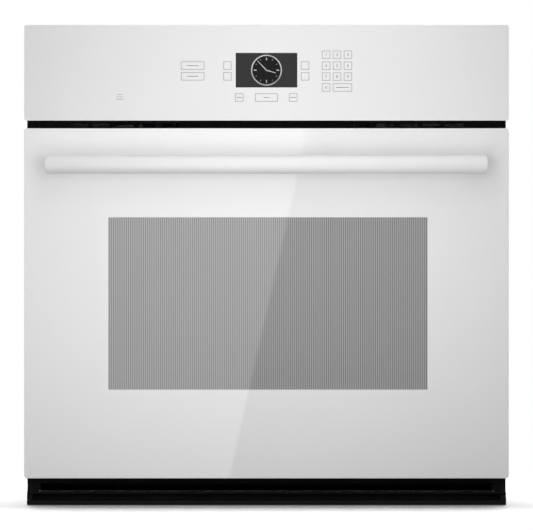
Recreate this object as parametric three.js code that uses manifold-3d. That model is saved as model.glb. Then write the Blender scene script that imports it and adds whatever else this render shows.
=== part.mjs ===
// Built-in single wall oven with a drop-down door, in millimetres, +Z up, front towards -Y.
// Inside the oven group y = 0 is the cabinet face: everything behind it goes into the cabinet cut-out.
import * as THREE from "three";
import { mergeVertices } from "three/addons/utils/BufferGeometryUtils.js";
import Module from "manifold-3d";

const wasm = await Module();
wasm.setup();

// ---------------------------------------------------------------- driving sizes
const OVERALL_WIDTH = 755.65; // across the control panel and door glass
const OVERALL_HEIGHT = 749.3; // vent trim's lower edge to the control panel's top
const RECESS_DEPTH = 591; // behind the cabinet face
const PANEL_HEIGHT = 149.3; // control panel
const PANEL_GAP = 11.9; // between control panel and door
const TRIM_HEIGHT = 41.8; // lower vent trim
const FACE_INSET = 3.3; // black metalwork behind the edge of the front glass
const SIDE_OVERLAP = 19.8; // front glass past the recessed body, each side
const TOP_OVERLAP = 33.3; // control panel above the recessed body
const RUNNER_HEIGHT = 20; // base runners that the body stands on
const SHEET = 1.2; // casing and liner steel
const FRAME_SHEET = 2; // front frame steel
const GLASS = 4; // every pane
const GAP = 0.3; // clearance between pieces that touch
const GLASS_CORNER = 4; // rounded corners of the front glass
const DOOR_THICKNESS = 38;
const GASKET_HEIGHT = 6; // seal between front frame and closed door
const SIDE_WALL_SPACE = 53; // body side to cavity, each side
const REAR_SPACE = 108; // cavity back to the body's back
const CAVITY_ABOVE_DOOR_FOOT = 58.2; // cavity floor above the door's lower edge
const CAVITY_BELOW_DOOR_TOP = 56.1; // cavity ceiling below the door's upper edge
const CAVITY_CORNER = 20;

const HINGE = {
  inset: 14,
  rise: 14,
  fromSide: 33,
  armThick: 8,
  barHeight: 12,
  barReach: 60,
  slotHalf: 8,
  slotRise: 20,
  notch: 44,
  pin: 3,
};
const CAM = { low: 7, perRadian: 4, roller: 4, play: 1 }; // hinge cam lifts its rod evenly
const CHANNEL = { width: 24, wall: 1.5, front: 30, back: 2.5, length: 250, foot: 8 };
const HANDLE = { length: 689.6, height: 28.5, depth: 17, reach: 45.4, belowTop: 56.9, endBow: 3.1 };
const POST = { fromEnd: 27, foot: 12, waist: 8.5, stud: 3, studLength: 9, play: 0.4 };
const WINDOW = { sideMargin: 129.1, foot: 138, head: 139.7 }; // clear window in the door glass
const INNER_WINDOW = { shrink: 19, lip: 8 }; // door liner's window against the outer one
const PLUG = { depth: 9, clearance: 10 }; // part of the door liner that enters the cavity mouth
const GASKET = { width: 9, fromMouth: 12 };
const RACK = {
  levels: 6,
  firstAbove: 60,
  lastBelow: 97,
  depth: 425,
  front: 14,
  wires: 17,
  rim: 5.8,
  wire: 3.2,
  stop: 14,
  play: 3.5,
};
const LEDGE = { reach: 8, height: 6, front: 12, spare: 10 };
const FAN = {
  coverWidth: 400,
  coverHeight: 260,
  coverDepth: 32,
  coverCorner: 22,
  wheel: 74,
  blades: 10,
  bladeFrom: 24,
  bladeDepth: 14,
  hub: 9,
  shaft: 4,
  shaftLength: 84,
  fromWall: 12,
  wallHole: 9,
};
const FAN_MOTOR = { radius: 44, depth: 48, nose: 12, tail: 20, feet: 74, plate: 3, gap: 5 };
const BLOWER = { wheel: 62, height: 40, blades: 14, shaft: 4, wall: 1.5, clearance: 8 };
const ELEMENT = {
  tube: 3.25,
  hole: 5,
  broilDrop: 25,
  bakeDrop: 7,
  leg: 40,
  tail: 38,
  fromBack: 60,
  bend: 18,
};
const RING = { spread: 12, radius: 95, tail: 54, bend: 9 }; // tube round the convection fan
const LAMP = { radius: 30, fromBack: 103, belowTop: 42, clearance: 8.3, wall: 2, neck: 10, bulb: 7 };
const LATCH = { radius: 50, depth: 30, unlocked: 75, thick: 3, aboveMouth: 28, pin: 4, eye: 11 };
const LATCH_SWING = [-48, 10]; // slot in the front frame that the hook swings through
const SWITCH = { x: 120, aboveMouth: 32, bore: 3, plunger: 2.7, width: 30, height: 14, depth: 26 };
const DISPLAY = { width: 96.1, height: 54, rise: 78.7, border: 8, depth: 14 };
const TOUCH = { left: 138, right: 146, foot: 28, head: 112, board: 1.6 };
const SIDE_TRIM = { thick: 1.5, lip: 6, returnDepth: 18, screwHole: 2.6 };
const SCREW_DROPS = [40, 250, 460]; // side trim screw holes below the door's upper edge
const PAN = { flange: 14, drain: 6, drainDepth: 300 };
const RUNNER = { width: 34, wall: 2, inset: 40, fromSide: 60, hole: 4, holesAt: [100, 460] };
const SIDE_VENT = { count: 8, from: 330, pitch: 24, width: 10, low: 80, high: 40, flange: 10 };
const COVER_SLOT = { count: 7, from: -150, pitch: 50, length: 35, near: 60, far: 66 };
const COVER_LIP = 12; // top cover's turned-down rear edge
const LOUVRE = { count: 7, from: 80, to: 240, below: 26, pitch: 10, height: 5 };
const COOLING = { count: 5, from: 150, pitch: 36, half: 14, low: 3, high: 8 }; // slots over the door
const CONDUIT = { fromSide: 68, fromBack: 60, hole: 14, bore: 10, thread: 15, nut: 19, height: 20 };
const SUPPLY_BOX = { half: 46, deep: 38, height: 62, wall: 1.5, below: 76, knockout: 11 };
const SENSOR = { fromSide: 55, belowTop: 52, length: 72, radius: 2.5, hole: 5 };
const BLANKET = { side: 12, floorDrop: 16, foot: 46, behind: 34, top: 38, front: 4 }; // insulation
// Vent trim outline: how far each part stands before the cabinet face, and its heights.
const TRIM = {
  end: 8.6,
  back: 12,
  band: 7,
  bandFoot: 33.5,
  chamfer: 2,
  sill: 20.6,
  lip: 22,
  lipTop: 19.4,
  lipFoot: 17.6,
  web: 18,
  toe: 24,
  toeTop: 6.7,
  wall: 2,
  screwAt: 37,
  screws: [-240, 0, 240],
};

// ---------------------------------------------------------------- sizes that follow
const HALF = OVERALL_WIDTH / 2;
const BODY_HALF = HALF - SIDE_OVERLAP;
const BODY_TOP = OVERALL_HEIGHT - TOP_OVERLAP;
const BLACK_HALF = HALF - FACE_INSET;
const DOOR_BACK = FRAME_SHEET + GASKET_HEIGHT + 2 * GAP; // door's back face before the cabinet face
const FRONT_FACE = DOOR_BACK + DOOR_THICKNESS; // outer face of the glass
const FRONT_REACH = FRONT_FACE + HANDLE.reach;
const DOOR_FOOT = TRIM_HEIGHT;
const DOOR_TOP = OVERALL_HEIGHT - PANEL_HEIGHT - PANEL_GAP;
const DOOR_HEIGHT = DOOR_TOP - DOOR_FOOT;
const MOUTH_FOOT = DOOR_FOOT + CAVITY_ABOVE_DOOR_FOOT;
const MOUTH_TOP = DOOR_TOP - CAVITY_BELOW_DOOR_TOP;
const MOUTH_HALF = BODY_HALF - SIDE_WALL_SPACE;
const MOUTH_MIDDLE = (MOUTH_FOOT + MOUTH_TOP) / 2;
const CAVITY_DEPTH = RECESS_DEPTH - REAR_SPACE;
const HINGE_X = BODY_HALF - HINGE.fromSide;
const HINGE_Y = -DOOR_BACK - HINGE.inset;
const HINGE_Z = DOOR_FOOT + HINGE.rise;
const BAY_FLOOR = MOUTH_TOP + BLANKET.top + 7; // electronics bay above the cavity insulation
const CASING_BACK = RECESS_DEPTH - SHEET;
const INSIDE_HALF = BODY_HALF - SHEET - GAP;
const CONDUIT_X = -BODY_HALF + CONDUIT.fromSide;
const CONDUIT_Y = RECESS_DEPTH - CONDUIT.fromBack;
const SWITCH_Z = MOUTH_TOP + SWITCH.aboveMouth;
const LATCH_Z = MOUTH_TOP + LATCH.aboveMouth;
const LAMP_Y = CAVITY_DEPTH - LAMP.fromBack;
const LAMP_Z = MOUTH_TOP - LAMP.belowTop;
const LAMP_DEPTH = SIDE_WALL_SPACE - 2 * SHEET - GAP - LAMP.clearance;
const SENSOR_X = MOUTH_HALF - SENSOR.fromSide;
const SENSOR_Z = MOUTH_TOP - SENSOR.belowTop;
const BROIL_Z = MOUTH_TOP - ELEMENT.broilDrop;
const BAKE_Z = MOUTH_FOOT - SHEET - ELEMENT.bakeDrop;
const LEVEL_PITCH =
  (MOUTH_TOP - MOUTH_FOOT - RACK.firstAbove - RACK.lastBelow) / (RACK.levels - 1);

// ---------------------------------------------------------------- finishes
const finish = (color, roughness, metalness, opacity = 1) =>
  new THREE.MeshStandardMaterial({ color, roughness, metalness, opacity, transparent: opacity < 1 });
const whiteGlass = () => finish(0xf2f2f1, 0.08, 0);
const clearGlass = () => finish(0x9aa3a3, 0.05, 0, 0.4);
const whitePaint = () => finish(0xf0f0ef, 0.25, 0);
const blackPaint = () => finish(0x0c0c0d, 0.45, 0.1);
const galvanised = () => finish(0xa9adb0, 0.45, 0.9);
const enamel = () => finish(0x2c3138, 0.3, 0);
const stainless = () => finish(0xb9bbbd, 0.3, 1);
const chrome = () => finish(0xd6d8da, 0.12, 1);
const element = () => finish(0x3a3a3c, 0.6, 0.6);
const fibre = () => finish(0xd9cf9f, 0.95, 0);
const braid = () => finish(0x4c4c4e, 0.9, 0.2);
const plastic = () => finish(0x1b1b1d, 0.5, 0);
const board = () => finish(0x1f6b3f, 0.5, 0);

// ---------------------------------------------------------------- solids
// A closed three.js geometry as a solid that can be joined and cut.
function solid(geometry) {
  const bare = geometry.index ? geometry.toNonIndexed() : geometry.clone();
  bare.deleteAttribute("normal");
  bare.deleteAttribute("uv");
  const merged = mergeVertices(bare, 1e-4);
  return new wasm.Manifold(
    new wasm.Mesh({
      numProp: 3,
      vertProperties: merged.attributes.position.array,
      triVerts: new Uint32Array(merged.index.array),
    }),
  );
}

function geometryOf(made) {
  const mesh = made.getMesh();
  const geometry = new THREE.BufferGeometry();
  geometry.setAttribute("position", new THREE.BufferAttribute(mesh.vertProperties, 3));
  geometry.setIndex(new THREE.BufferAttribute(mesh.triVerts, 1));
  geometry.computeVertexNormals();
  return geometry;
}

const join = (...pieces) => geometryOf(pieces.map(solid).reduce((a, b) => a.add(b)));
const cut = (piece, ...tools) =>
  geometryOf(tools.map(solid).reduce((a, b) => a.subtract(b), solid(piece)));
const common = (a, b) => geometryOf(solid(a).intersect(solid(b)));

const range = (count) => [...Array(count).keys()];

// A block between two corners.
function block(x0, x1, y0, y1, z0, z1) {
  const geometry = new THREE.BoxGeometry(x1 - x0, y1 - y0, z1 - z0);
  return geometry.translate((x0 + x1) / 2, (y0 + y1) / 2, (z0 + z1) / 2);
}
// The same block on both sides of x = 0.
const pair = (x, half, ...rest) => [
  block(-x - half, -x + half, ...rest),
  block(x - half, x + half, ...rest),
];

function roundedShape(x0, x1, z0, z1, radius) {
  const shape = new THREE.Shape();
  shape.moveTo(x0 + radius, z0);
  shape.absarc(x1 - radius, z0 + radius, radius, -Math.PI / 2, 0, false);
  shape.absarc(x1 - radius, z1 - radius, radius, 0, Math.PI / 2, false);
  shape.absarc(x0 + radius, z1 - radius, radius, Math.PI / 2, Math.PI, false);
  shape.absarc(x0 + radius, z0 + radius, radius, Math.PI, 1.5 * Math.PI, false);
  shape.closePath();
  return shape;
}

// An outline drawn in X and Z, as thick as y0 to y1.
function plate(shape, y0, y1, curveSegments = 2) {
  const geometry = new THREE.ExtrudeGeometry(shape, {
    depth: y1 - y0,
    bevelEnabled: false,
    curveSegments,
  });
  return geometry.rotateX(Math.PI / 2).translate(0, y1, 0);
}
const roundedPlate = (x0, x1, y0, y1, z0, z1, radius) =>
  plate(roundedShape(x0, x1, z0, z1, radius), y0, y1);

// An outline drawn in Y and Z, from x0 to x1.
function extrudeX(shape, x0, x1, curveSegments = 6) {
  const geometry = new THREE.ExtrudeGeometry(shape, {
    depth: x1 - x0,
    bevelEnabled: false,
    curveSegments,
  });
  const turn = new THREE.Matrix4().makeBasis(
    new THREE.Vector3(0, 1, 0),
    new THREE.Vector3(0, 0, 1),
    new THREE.Vector3(1, 0, 0),
  );
  return geometry.applyMatrix4(turn).translate(x0, 0, 0);
}

// An outline drawn in X and Y, from z0 to z1.
const extrudeZ = (shape, z0, z1, curveSegments = 6) =>
  new THREE.ExtrudeGeometry(shape, {
    depth: z1 - z0,
    bevelEnabled: false,
    curveSegments,
  }).translate(0, 0, z0);

// A round bar between two points.
function rod(from, to, radius, sides = 12) {
  const a = new THREE.Vector3(...from);
  const b = new THREE.Vector3(...to);
  const along = b.clone().sub(a);
  const geometry = new THREE.CylinderGeometry(radius, radius, along.length(), sides);
  const turn = new THREE.Quaternion().setFromUnitVectors(
    new THREE.Vector3(0, 1, 0),
    along.normalize(),
  );
  return geometry.applyQuaternion(turn).translate(...a.add(b).multiplyScalar(0.5).toArray());
}

// A turned piece: [radius, height] pairs about the Z axis, from the axis and back to it.
const turned = (profile, sides = 14) =>
  new THREE.LatheGeometry(profile.map(([r, h]) => new THREE.Vector2(r, h)), sides).rotateX(
    Math.PI / 2,
  );
const alongY = (geometry) => geometry.rotateX(-Math.PI / 2); // +Z becomes +Y
const alongX = (geometry) => geometry.rotateY(Math.PI / 2); // +Z becomes +X

// A path that stops at given stations, so a straight run costs no steps.
class StationPath extends THREE.Curve {
  constructor(stations) {
    super();
    this.stations = stations;
  }
  getPointAt(u, target = new THREE.Vector3()) {
    return target.copy(this.stations[Math.round(u * (this.stations.length - 1))]);
  }
  getTangentAt(u, target = new THREE.Vector3()) {
    const last = this.stations.length - 1;
    const i = Math.round(u * last);
    const before = this.stations[i].clone().sub(this.stations[Math.max(i - 1, 0)]);
    const after = this.stations[Math.min(i + 1, last)].clone().sub(this.stations[i]);
    return target.copy(before.normalize().add(after.normalize())).normalize();
  }
}

// A tube through points, with each corner rounded.
function bentTube(points, corner, radius, sides = 6, perCorner = 2) {
  const at = points.map((p) => new THREE.Vector3(...p));
  const stations = [at[0]];
  for (let i = 1; i < at.length - 1; i++) {
    const before = at[i - 1].clone().sub(at[i]);
    const after = at[i + 1].clone().sub(at[i]);
    const room = Math.min(corner, before.length() * 0.45, after.length() * 0.45);
    const start = at[i].clone().add(before.setLength(room));
    const end = at[i].clone().add(after.setLength(room));
    stations.push(...new THREE.QuadraticBezierCurve3(start, at[i], end).getPoints(perCorner));
  }
  stations.push(at[at.length - 1]);
  return new THREE.ExtrudeGeometry(new THREE.Shape(circlePoints(radius, sides)), {
    steps: stations.length - 1,
    extrudePath: new StationPath(stations),
  });
}

function circlePoints(radius, sides) {
  return range(sides).map((i) => {
    const a = (2 * Math.PI * i) / sides;
    return new THREE.Vector2(radius * Math.cos(a), radius * Math.sin(a));
  });
}

function mesh(name, geometry, material, position = [0, 0, 0]) {
  const made = new THREE.Mesh(geometry, material);
  made.name = name;
  made.position.set(...position);
  return made;
}
const SIDES = [
  ["left", -1],
  ["right", 1],
];
const flipX = (geometry, side) => (side > 0 ? geometry : mirrored(geometry));
function mirrored(geometry) {
  const bare = geometry.index ? geometry.toNonIndexed() : geometry.clone();
  bare.scale(-1, 1, 1);
  const p = bare.attributes.position;
  for (let i = 0; i < p.count; i += 3) {
    const [x, y, z] = [p.getX(i), p.getY(i), p.getZ(i)];
    p.setXYZ(i, p.getX(i + 1), p.getY(i + 1), p.getZ(i + 1));
    p.setXYZ(i + 1, x, y, z);
  }
  bare.computeVertexNormals();
  return bare;
}

// ---------------------------------------------------------------- casing
function basePan() {
  const half = INSIDE_HALF;
  const outer = block(-half, half, GAP, CASING_BACK - GAP, 0, PAN.flange);
  const inner = block(-half + SHEET, half - SHEET, -1, CASING_BACK, SHEET, PAN.flange + 1);
  const drains = [-half / 2, half / 2].map((x) =>
    rod([x, PAN.drainDepth, -1], [x, PAN.drainDepth, SHEET + 1], PAN.drain),
  );
  return cut(outer, inner, ...drains);
}

// Channel with its open side up, under the base pan.
function baseRunner() {
  const half = RUNNER.width / 2;
  const [front, back] = [RUNNER.inset, CASING_BACK - RUNNER.inset];
  const outer = block(-half, half, front, back, 0, RUNNER_HEIGHT - GAP);
  const inner = block(
    -half + RUNNER.wall,
    half - RUNNER.wall,
    front - 1,
    back + 1,
    RUNNER.wall,
    RUNNER_HEIGHT,
  );
  const holes = RUNNER.holesAt.map((y) => rod([0, y, -1], [0, y, RUNNER.wall + 1], RUNNER.hole));
  return cut(outer, inner, ...holes);
}

// The side panel at +x, with a row of vent slots high up near its back.
function sidePanel() {
  const foot = RUNNER_HEIGHT;
  const flangeTop = BODY_TOP - COVER_LIP - GAP;
  const flangeFrom = BODY_HALF - SIDE_VENT.flange;
  const skin = block(BODY_HALF - SHEET, BODY_HALF, GAP, RECESS_DEPTH, foot, BODY_TOP);
  const flange = block(flangeFrom, BODY_HALF, CASING_BACK, RECESS_DEPTH, foot, flangeTop);
  const vents = range(SIDE_VENT.count).map((i) => {
    const y = SIDE_VENT.from + i * SIDE_VENT.pitch;
    const [low, high] = [BODY_TOP - SIDE_VENT.low, BODY_TOP - SIDE_VENT.high];
    return block(BODY_HALF - 5, BODY_HALF + 5, y, y + SIDE_VENT.width, low, high);
  });
  return cut(join(skin, flange), ...vents);
}

function topCover() {
  const half = INSIDE_HALF;
  const skin = block(-half, half, GAP, RECESS_DEPTH, -SHEET, 0);
  const rear = block(-half, half, CASING_BACK, RECESS_DEPTH, -COVER_LIP, 0);
  const slots = range(COVER_SLOT.count).map((i) => {
    const x = COVER_SLOT.from + i * COVER_SLOT.pitch;
    return block(x, x + COVER_SLOT.length, COVER_SLOT.near, COVER_SLOT.far, -5, 1);
  });
  const conduit = rod([CONDUIT_X, CONDUIT_Y, -5], [CONDUIT_X, CONDUIT_Y, 5], CONDUIT.hole, 20);
  return cut(join(skin, rear), ...slots, conduit);
}

function rearCover() {
  const half = BODY_HALF - SIDE_VENT.flange - GAP;
  const head = BODY_TOP - COVER_LIP - GAP;
  const skin = block(-half, half, CASING_BACK, RECESS_DEPTH, RUNNER_HEIGHT, head);
  const louvres = range(LOUVRE.count).map((i) => {
    const top = head - LOUVRE.below - i * LOUVRE.pitch;
    return block(LOUVRE.from, LOUVRE.to, CASING_BACK - 1, RECESS_DEPTH + 1, top - LOUVRE.height, top);
  });
  return cut(skin, ...louvres);
}

function frontFrame() {
  const foot = TRIM_HEIGHT + 1;
  const [front, back] = [-FRAME_SHEET - 1, 1];
  const skin = block(-BODY_HALF, BODY_HALF, -FRAME_SHEET, 0, foot, BODY_TOP);
  const mouth = roundedPlate(
    -MOUTH_HALF,
    MOUTH_HALF,
    front,
    back,
    MOUTH_FOOT,
    MOUTH_TOP,
    CAVITY_CORNER,
  );
  const armSlots = pair(HINGE_X, HINGE.slotHalf, front, back, foot + 2, HINGE_Z + HINGE.slotRise);
  const wiring = block(-160, 160, front, back, BODY_TOP - 90, BODY_TOP - 30);
  const latchSlot = block(...LATCH_SWING, front, back, LATCH_Z - 3, LATCH_Z + LATCH.thick + 3);
  const switchHole = rod([SWITCH.x, front, SWITCH_Z], [SWITCH.x, back, SWITCH_Z], SWITCH.bore + 0.5, 16);
  const cooling = [-1, 1].flatMap((side) =>
    range(COOLING.count).map((i) => {
      const x = side * (COOLING.from + i * COOLING.pitch);
      const [low, high] = [DOOR_TOP + COOLING.low, DOOR_TOP + COOLING.high];
      return block(x - COOLING.half, x + COOLING.half, front, back, low, high);
    }),
  );
  return cut(skin, mouth, ...armSlots, wiring, latchSlot, switchHole, ...cooling);
}

// The rail at +x that closes the gap behind the door's edge and takes the cabinet screws.
function sideTrim() {
  const inner = BODY_HALF + GAP;
  const foot = TRIM_HEIGHT + 1;
  const head = OVERALL_HEIGHT - FACE_INSET - 1;
  const flange = block(inner, BLACK_HALF, -SIDE_TRIM.thick, 0, foot, head);
  const lip = block(BLACK_HALF - SIDE_TRIM.thick, BLACK_HALF, -SIDE_TRIM.lip, 0, foot, head);
  const back = block(inner, inner + SIDE_TRIM.thick, -1, SIDE_TRIM.returnDepth, foot, BODY_TOP);
  const middle = (inner + BLACK_HALF) / 2;
  const holes = SCREW_DROPS.map((drop) => {
    const z = DOOR_TOP - drop;
    return rod([middle, -SIDE_TRIM.lip, z], [middle, 1, z], SIDE_TRIM.screwHole, 12);
  });
  return cut(join(flange, lip, back), ...holes);
}

// Louvred strip under the door: its upper band stays behind the opening door's path.
function lowerVentTrim() {
  const step = RUNNER_HEIGHT - 1;
  const outline = new THREE.Shape(
    [
      [-TRIM.band + 1.5, TRIM_HEIGHT],
      [-TRIM.band, TRIM_HEIGHT - TRIM.chamfer],
      [-TRIM.band, TRIM.bandFoot],
      [-TRIM.band - 3, TRIM.sill],
      [-TRIM.lip, TRIM.lipTop],
      [-TRIM.lip, TRIM.lipFoot],
      [-TRIM.web, TRIM.lipFoot - TRIM.chamfer],
      [-TRIM.web, TRIM.toeTop + 1],
      [-TRIM.toe, TRIM.toeTop],
      [-TRIM.toe, 1],
      [-TRIM.toe + 1, 0],
      [TRIM.back, 0],
      [TRIM.back, step],
      [-1, step],
      [-1, TRIM_HEIGHT],
    ].map(([y, z]) => new THREE.Vector2(y, z)),
  );
  const body = extrudeX(outline, -BLACK_HALF, BLACK_HALF);
  const inside = BLACK_HALF - TRIM.end;
  const [front, through] = [-TRIM.toe - 1, TRIM.back + 1];
  const face = block(-inside, inside, front, -1 - TRIM.wall, TRIM.sill, TRIM.bandFoot);
  const behind = BODY_HALF - 2; // beyond it the strip has nothing behind it, and stays closed
  const mouth = block(-behind, behind, front, through, TRIM.sill, TRIM.bandFoot);
  const recess = block(-inside, inside, front, TRIM.back - TRIM.wall, TRIM.toeTop + 0.7, TRIM.lipFoot);
  const under = block(-inside, inside, -TRIM.web, TRIM.back - TRIM.wall, -1, TRIM.toeTop - TRIM.wall);
  const screws = TRIM.screws.map((x) => rod([x, -9, TRIM.screwAt], [x, 2, TRIM.screwAt], 2, 10));
  return cut(body, face, mouth, recess, under, ...screws);
}

// ---------------------------------------------------------------- cavity
function levelHeight(level) {
  return MOUTH_FOOT + RACK.firstAbove + (level - 1) * LEVEL_PITCH;
}

function ovenCavity() {
  const outer = roundedPlate(
    -MOUTH_HALF - SHEET,
    MOUTH_HALF + SHEET,
    GAP,
    CAVITY_DEPTH + SHEET,
    MOUTH_FOOT - SHEET,
    MOUTH_TOP + SHEET,
    CAVITY_CORNER + SHEET,
  );
  const inner = roundedPlate(
    -MOUTH_HALF,
    MOUTH_HALF,
    -1,
    CAVITY_DEPTH,
    MOUTH_FOOT,
    MOUTH_TOP,
    CAVITY_CORNER,
  );
  const ledges = range(RACK.levels).flatMap((i) =>
    [-1, 1].map((side) => flipX(ledge(levelHeight(i + 1)), side)),
  );
  const holes = [
    rod([0, CAVITY_DEPTH - 9, MOUTH_MIDDLE], [0, CAVITY_DEPTH + 9, MOUTH_MIDDLE], FAN.wallHole, 16),
    lampHole(LAMP.radius + 2),
    sensorHole(),
    ...legHoles(),
  ];
  return cut(join(cut(outer, inner), ...ledges), ...holes);
}

// One pressed rack ledge on the +x wall: its flat top carries the rack.
function ledge(top) {
  const shape = new THREE.Shape();
  shape.moveTo(MOUTH_HALF + SHEET / 2, top);
  shape.lineTo(MOUTH_HALF - LEDGE.reach, top);
  shape.lineTo(MOUTH_HALF - LEDGE.reach, top - LEDGE.height / 3);
  shape.lineTo(MOUTH_HALF + SHEET / 2, top - LEDGE.height - LEDGE.reach);
  shape.closePath();
  return plate(shape, LEDGE.front, LEDGE.front + RACK.depth + LEDGE.spare);
}

const lampHole = (radius) =>
  rod([-MOUTH_HALF - 80, LAMP_Y, LAMP_Z], [-MOUTH_HALF + 20, LAMP_Y, LAMP_Z], radius, 24);

const sensorHole = () =>
  rod([SENSOR_X, CAVITY_DEPTH - 10, SENSOR_Z], [SENSOR_X, RECESS_DEPTH - 20, SENSOR_Z], SENSOR.hole, 12);

// Holes for the heating tubes' legs, through the cavity's back wall and the insulation.
function legHoles() {
  const at = [
    [-ELEMENT.leg, BROIL_Z],
    [ELEMENT.leg, BROIL_Z],
    [-RING.spread, MOUTH_MIDDLE - RING.radius],
    [RING.spread, MOUTH_MIDDLE - RING.radius],
  ];
  return at.map(([x, z]) => legHole(x, z, CAVITY_DEPTH - 10));
}
const legHole = (x, z, from) => rod([x, from, z], [x, RECESS_DEPTH - 50, z], ELEMENT.hole, 10);

function cavityInsulation() {
  const half = BODY_HALF - BLANKET.side;
  const back = CAVITY_DEPTH + SHEET + BLANKET.behind;
  const outer = block(-half, half, BLANKET.front, back, BLANKET.foot, MOUTH_TOP + BLANKET.top);
  const pocket = block(
    -MOUTH_HALF - SHEET - 1,
    MOUTH_HALF + SHEET + 1,
    BLANKET.front - 1,
    CAVITY_DEPTH + SHEET + 1,
    MOUTH_FOOT - BLANKET.floorDrop,
    MOUTH_TOP + SHEET + 1,
  );
  const latchRoom = block(-half - 1, half + 1, 0, 95, MOUTH_TOP + 20, MOUTH_TOP + BLANKET.top + 22);
  const hingeRoom = pair(HINGE_X, 2 * HINGE.slotHalf, 0, 80, 0, HINGE_Z + 26);
  const shaft = rod([0, CAVITY_DEPTH - 5, MOUTH_MIDDLE], [0, back + 5, MOUTH_MIDDLE], 14, 16);
  return cut(
    outer,
    pocket,
    latchRoom,
    ...hingeRoom,
    shaft,
    lampHole(LAMP.radius + 6),
    sensorHole(),
    ...legHoles(),
    ...[-ELEMENT.leg, ELEMENT.leg].map((x) => legHole(x, BAKE_Z, CAVITY_DEPTH - ELEMENT.fromBack)),
  );
}

// Seal round the cavity mouth: a flattened tube on a rounded rectangle.
function doorGasket() {
  const at = MOUTH_HALF + GASKET.fromMouth;
  const [low, high] = [MOUTH_FOOT - GASKET.fromMouth, MOUTH_TOP + GASKET.fromMouth];
  const ring = (grow, y0, y1) =>
    roundedPlate(
      -at - grow,
      at + grow,
      y0,
      y1,
      low - grow,
      high + grow,
      CAVITY_CORNER + GASKET.fromMouth + grow,
    );
  const half = GASKET.width / 2;
  const front = -FRAME_SHEET - GAP - GASKET_HEIGHT;
  const back = -FRAME_SHEET - GAP;
  const shoulder = GASKET_HEIGHT / 3;
  return join(
    cut(ring(half, front + shoulder, back), ring(-half, front, back + 1)),
    cut(ring(half - shoulder, front, back - 1), ring(-half + shoulder, front - 1, back)),
  );
}

// A serpentine heating tube in a level plane, with both ends through the back wall.
function serpentine(half, front, loops) {
  const { leg, fromBack, bend, tube } = ELEMENT;
  const back = CAVITY_DEPTH - fromBack;
  const pitch = (half - leg) / loops;
  const points = [
    [-leg, CAVITY_DEPTH + ELEMENT.tail, 0],
    [-leg, back, 0],
    [-half, back, 0],
    [-half, front, 0],
  ];
  for (let i = 0; i < loops; i++) {
    const x = -half + pitch * (i + 0.5);
    points.push([x, front, 0], [x, back - fromBack, 0]);
    points.push([x + pitch / 2, back - fromBack, 0], [x + pitch / 2, front, 0]);
  }
  const otherSide = points.map(([x, y, z]) => [-x, y, z]).reverse();
  return bentTube([...points, ...otherSide], bend, tube);
}
const broilElement = () => serpentine(MOUTH_HALF - 75, 70, 2);
const bakeElement = () => serpentine(MOUTH_HALF - 60, 60, 1);

// The ring round the convection fan, with its legs turned back through the wall.
function convectionElement() {
  const sides = 20;
  const open = Math.asin(RING.spread / RING.radius);
  const points = range(sides + 1).map((i) => {
    const a = -Math.PI / 2 - open - (2 * Math.PI - 2 * open) * (i / sides);
    return [RING.radius * Math.cos(a), 0, RING.radius * Math.sin(a)];
  });
  const tail = ([x, , z]) => [x, RING.tail, z];
  return bentTube([tail(points[0]), ...points, tail(points[sides])], RING.bend, ELEMENT.tube, 6, 1);
}

// Pressed cover over the fan: rings of inlet slots in front, outlets in both ends.
function fanCover() {
  const [w, h] = [FAN.coverWidth / 2, FAN.coverHeight / 2];
  const front = -FAN.coverDepth;
  const outer = roundedPlate(-w, w, front, -GAP, -h, h, FAN.coverCorner);
  const [wi, hi] = [w - SHEET, h - SHEET];
  const inner = roundedPlate(-wi, wi, front + SHEET, 1, -hi, hi, FAN.coverCorner - 2);
  const inletRings = [
    { radius: 22, count: 6 },
    { radius: 42, count: 10 },
    { radius: 62, count: 14 },
  ];
  const inlets = inletRings.flatMap(({ radius, count }) =>
    range(count).map((i) =>
      new THREE.BoxGeometry(12, 9, 5)
        .translate(radius, front, 0)
        .rotateY((2 * Math.PI * i) / count),
    ),
  );
  const outlets = [-w, w].flatMap((x) =>
    [-2, -1, 0, 1, 2].map((k) => block(x - 6, x + 6, front + 8, -8, k * 38 - 14, k * 38 + 14)),
  );
  return cut(outer, inner, ...inlets, ...outlets);
}

// Convection wheel and its shaft, front to back along +Y.
function convectionFan() {
  const { wheel, hub, shaft, shaftLength, bladeFrom, bladeDepth, blades } = FAN;
  const disc = alongY(turned([[0, 0], [wheel, 0], [wheel, 1.5], [0, 1.5]]));
  const boss = [
    [0, -6],
    [hub, -6],
    [hub, 4],
    [shaft, 4],
    [shaft, shaftLength],
    [0, shaftLength],
  ];
  const fins = range(blades).map((i) =>
    block(bladeFrom, wheel - 1, -bladeDepth, 0.5, -0.8, 0.8).rotateY((2 * Math.PI * i) / blades),
  );
  return join(disc, alongY(turned(boss, 16)), ...fins);
}

// Shaded-pole motor on three feet, with a blind bore for the fan's shaft.
function fanMotor() {
  const { radius, depth, nose, tail, feet, plate: thick, gap } = FAN_MOTOR;
  const bore = FAN.shaft + GAP;
  const shell = [
    [bore, 0],
    [nose, 0],
    [nose, gap],
    [radius, gap],
    [radius, depth - 8],
    [radius - 6, depth],
    [tail, depth],
    [tail, depth + 8],
    [0, depth + 8],
    [0, depth + 2],
    [bore, depth + 2],
    [bore, 0],
  ];
  const legs = range(3).map((i) =>
    block(nose + 8, feet, gap, gap + thick, -9, 9).rotateY((2 * Math.PI * i) / 3),
  );
  return join(alongY(turned(shell)), ...legs);
}

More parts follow.
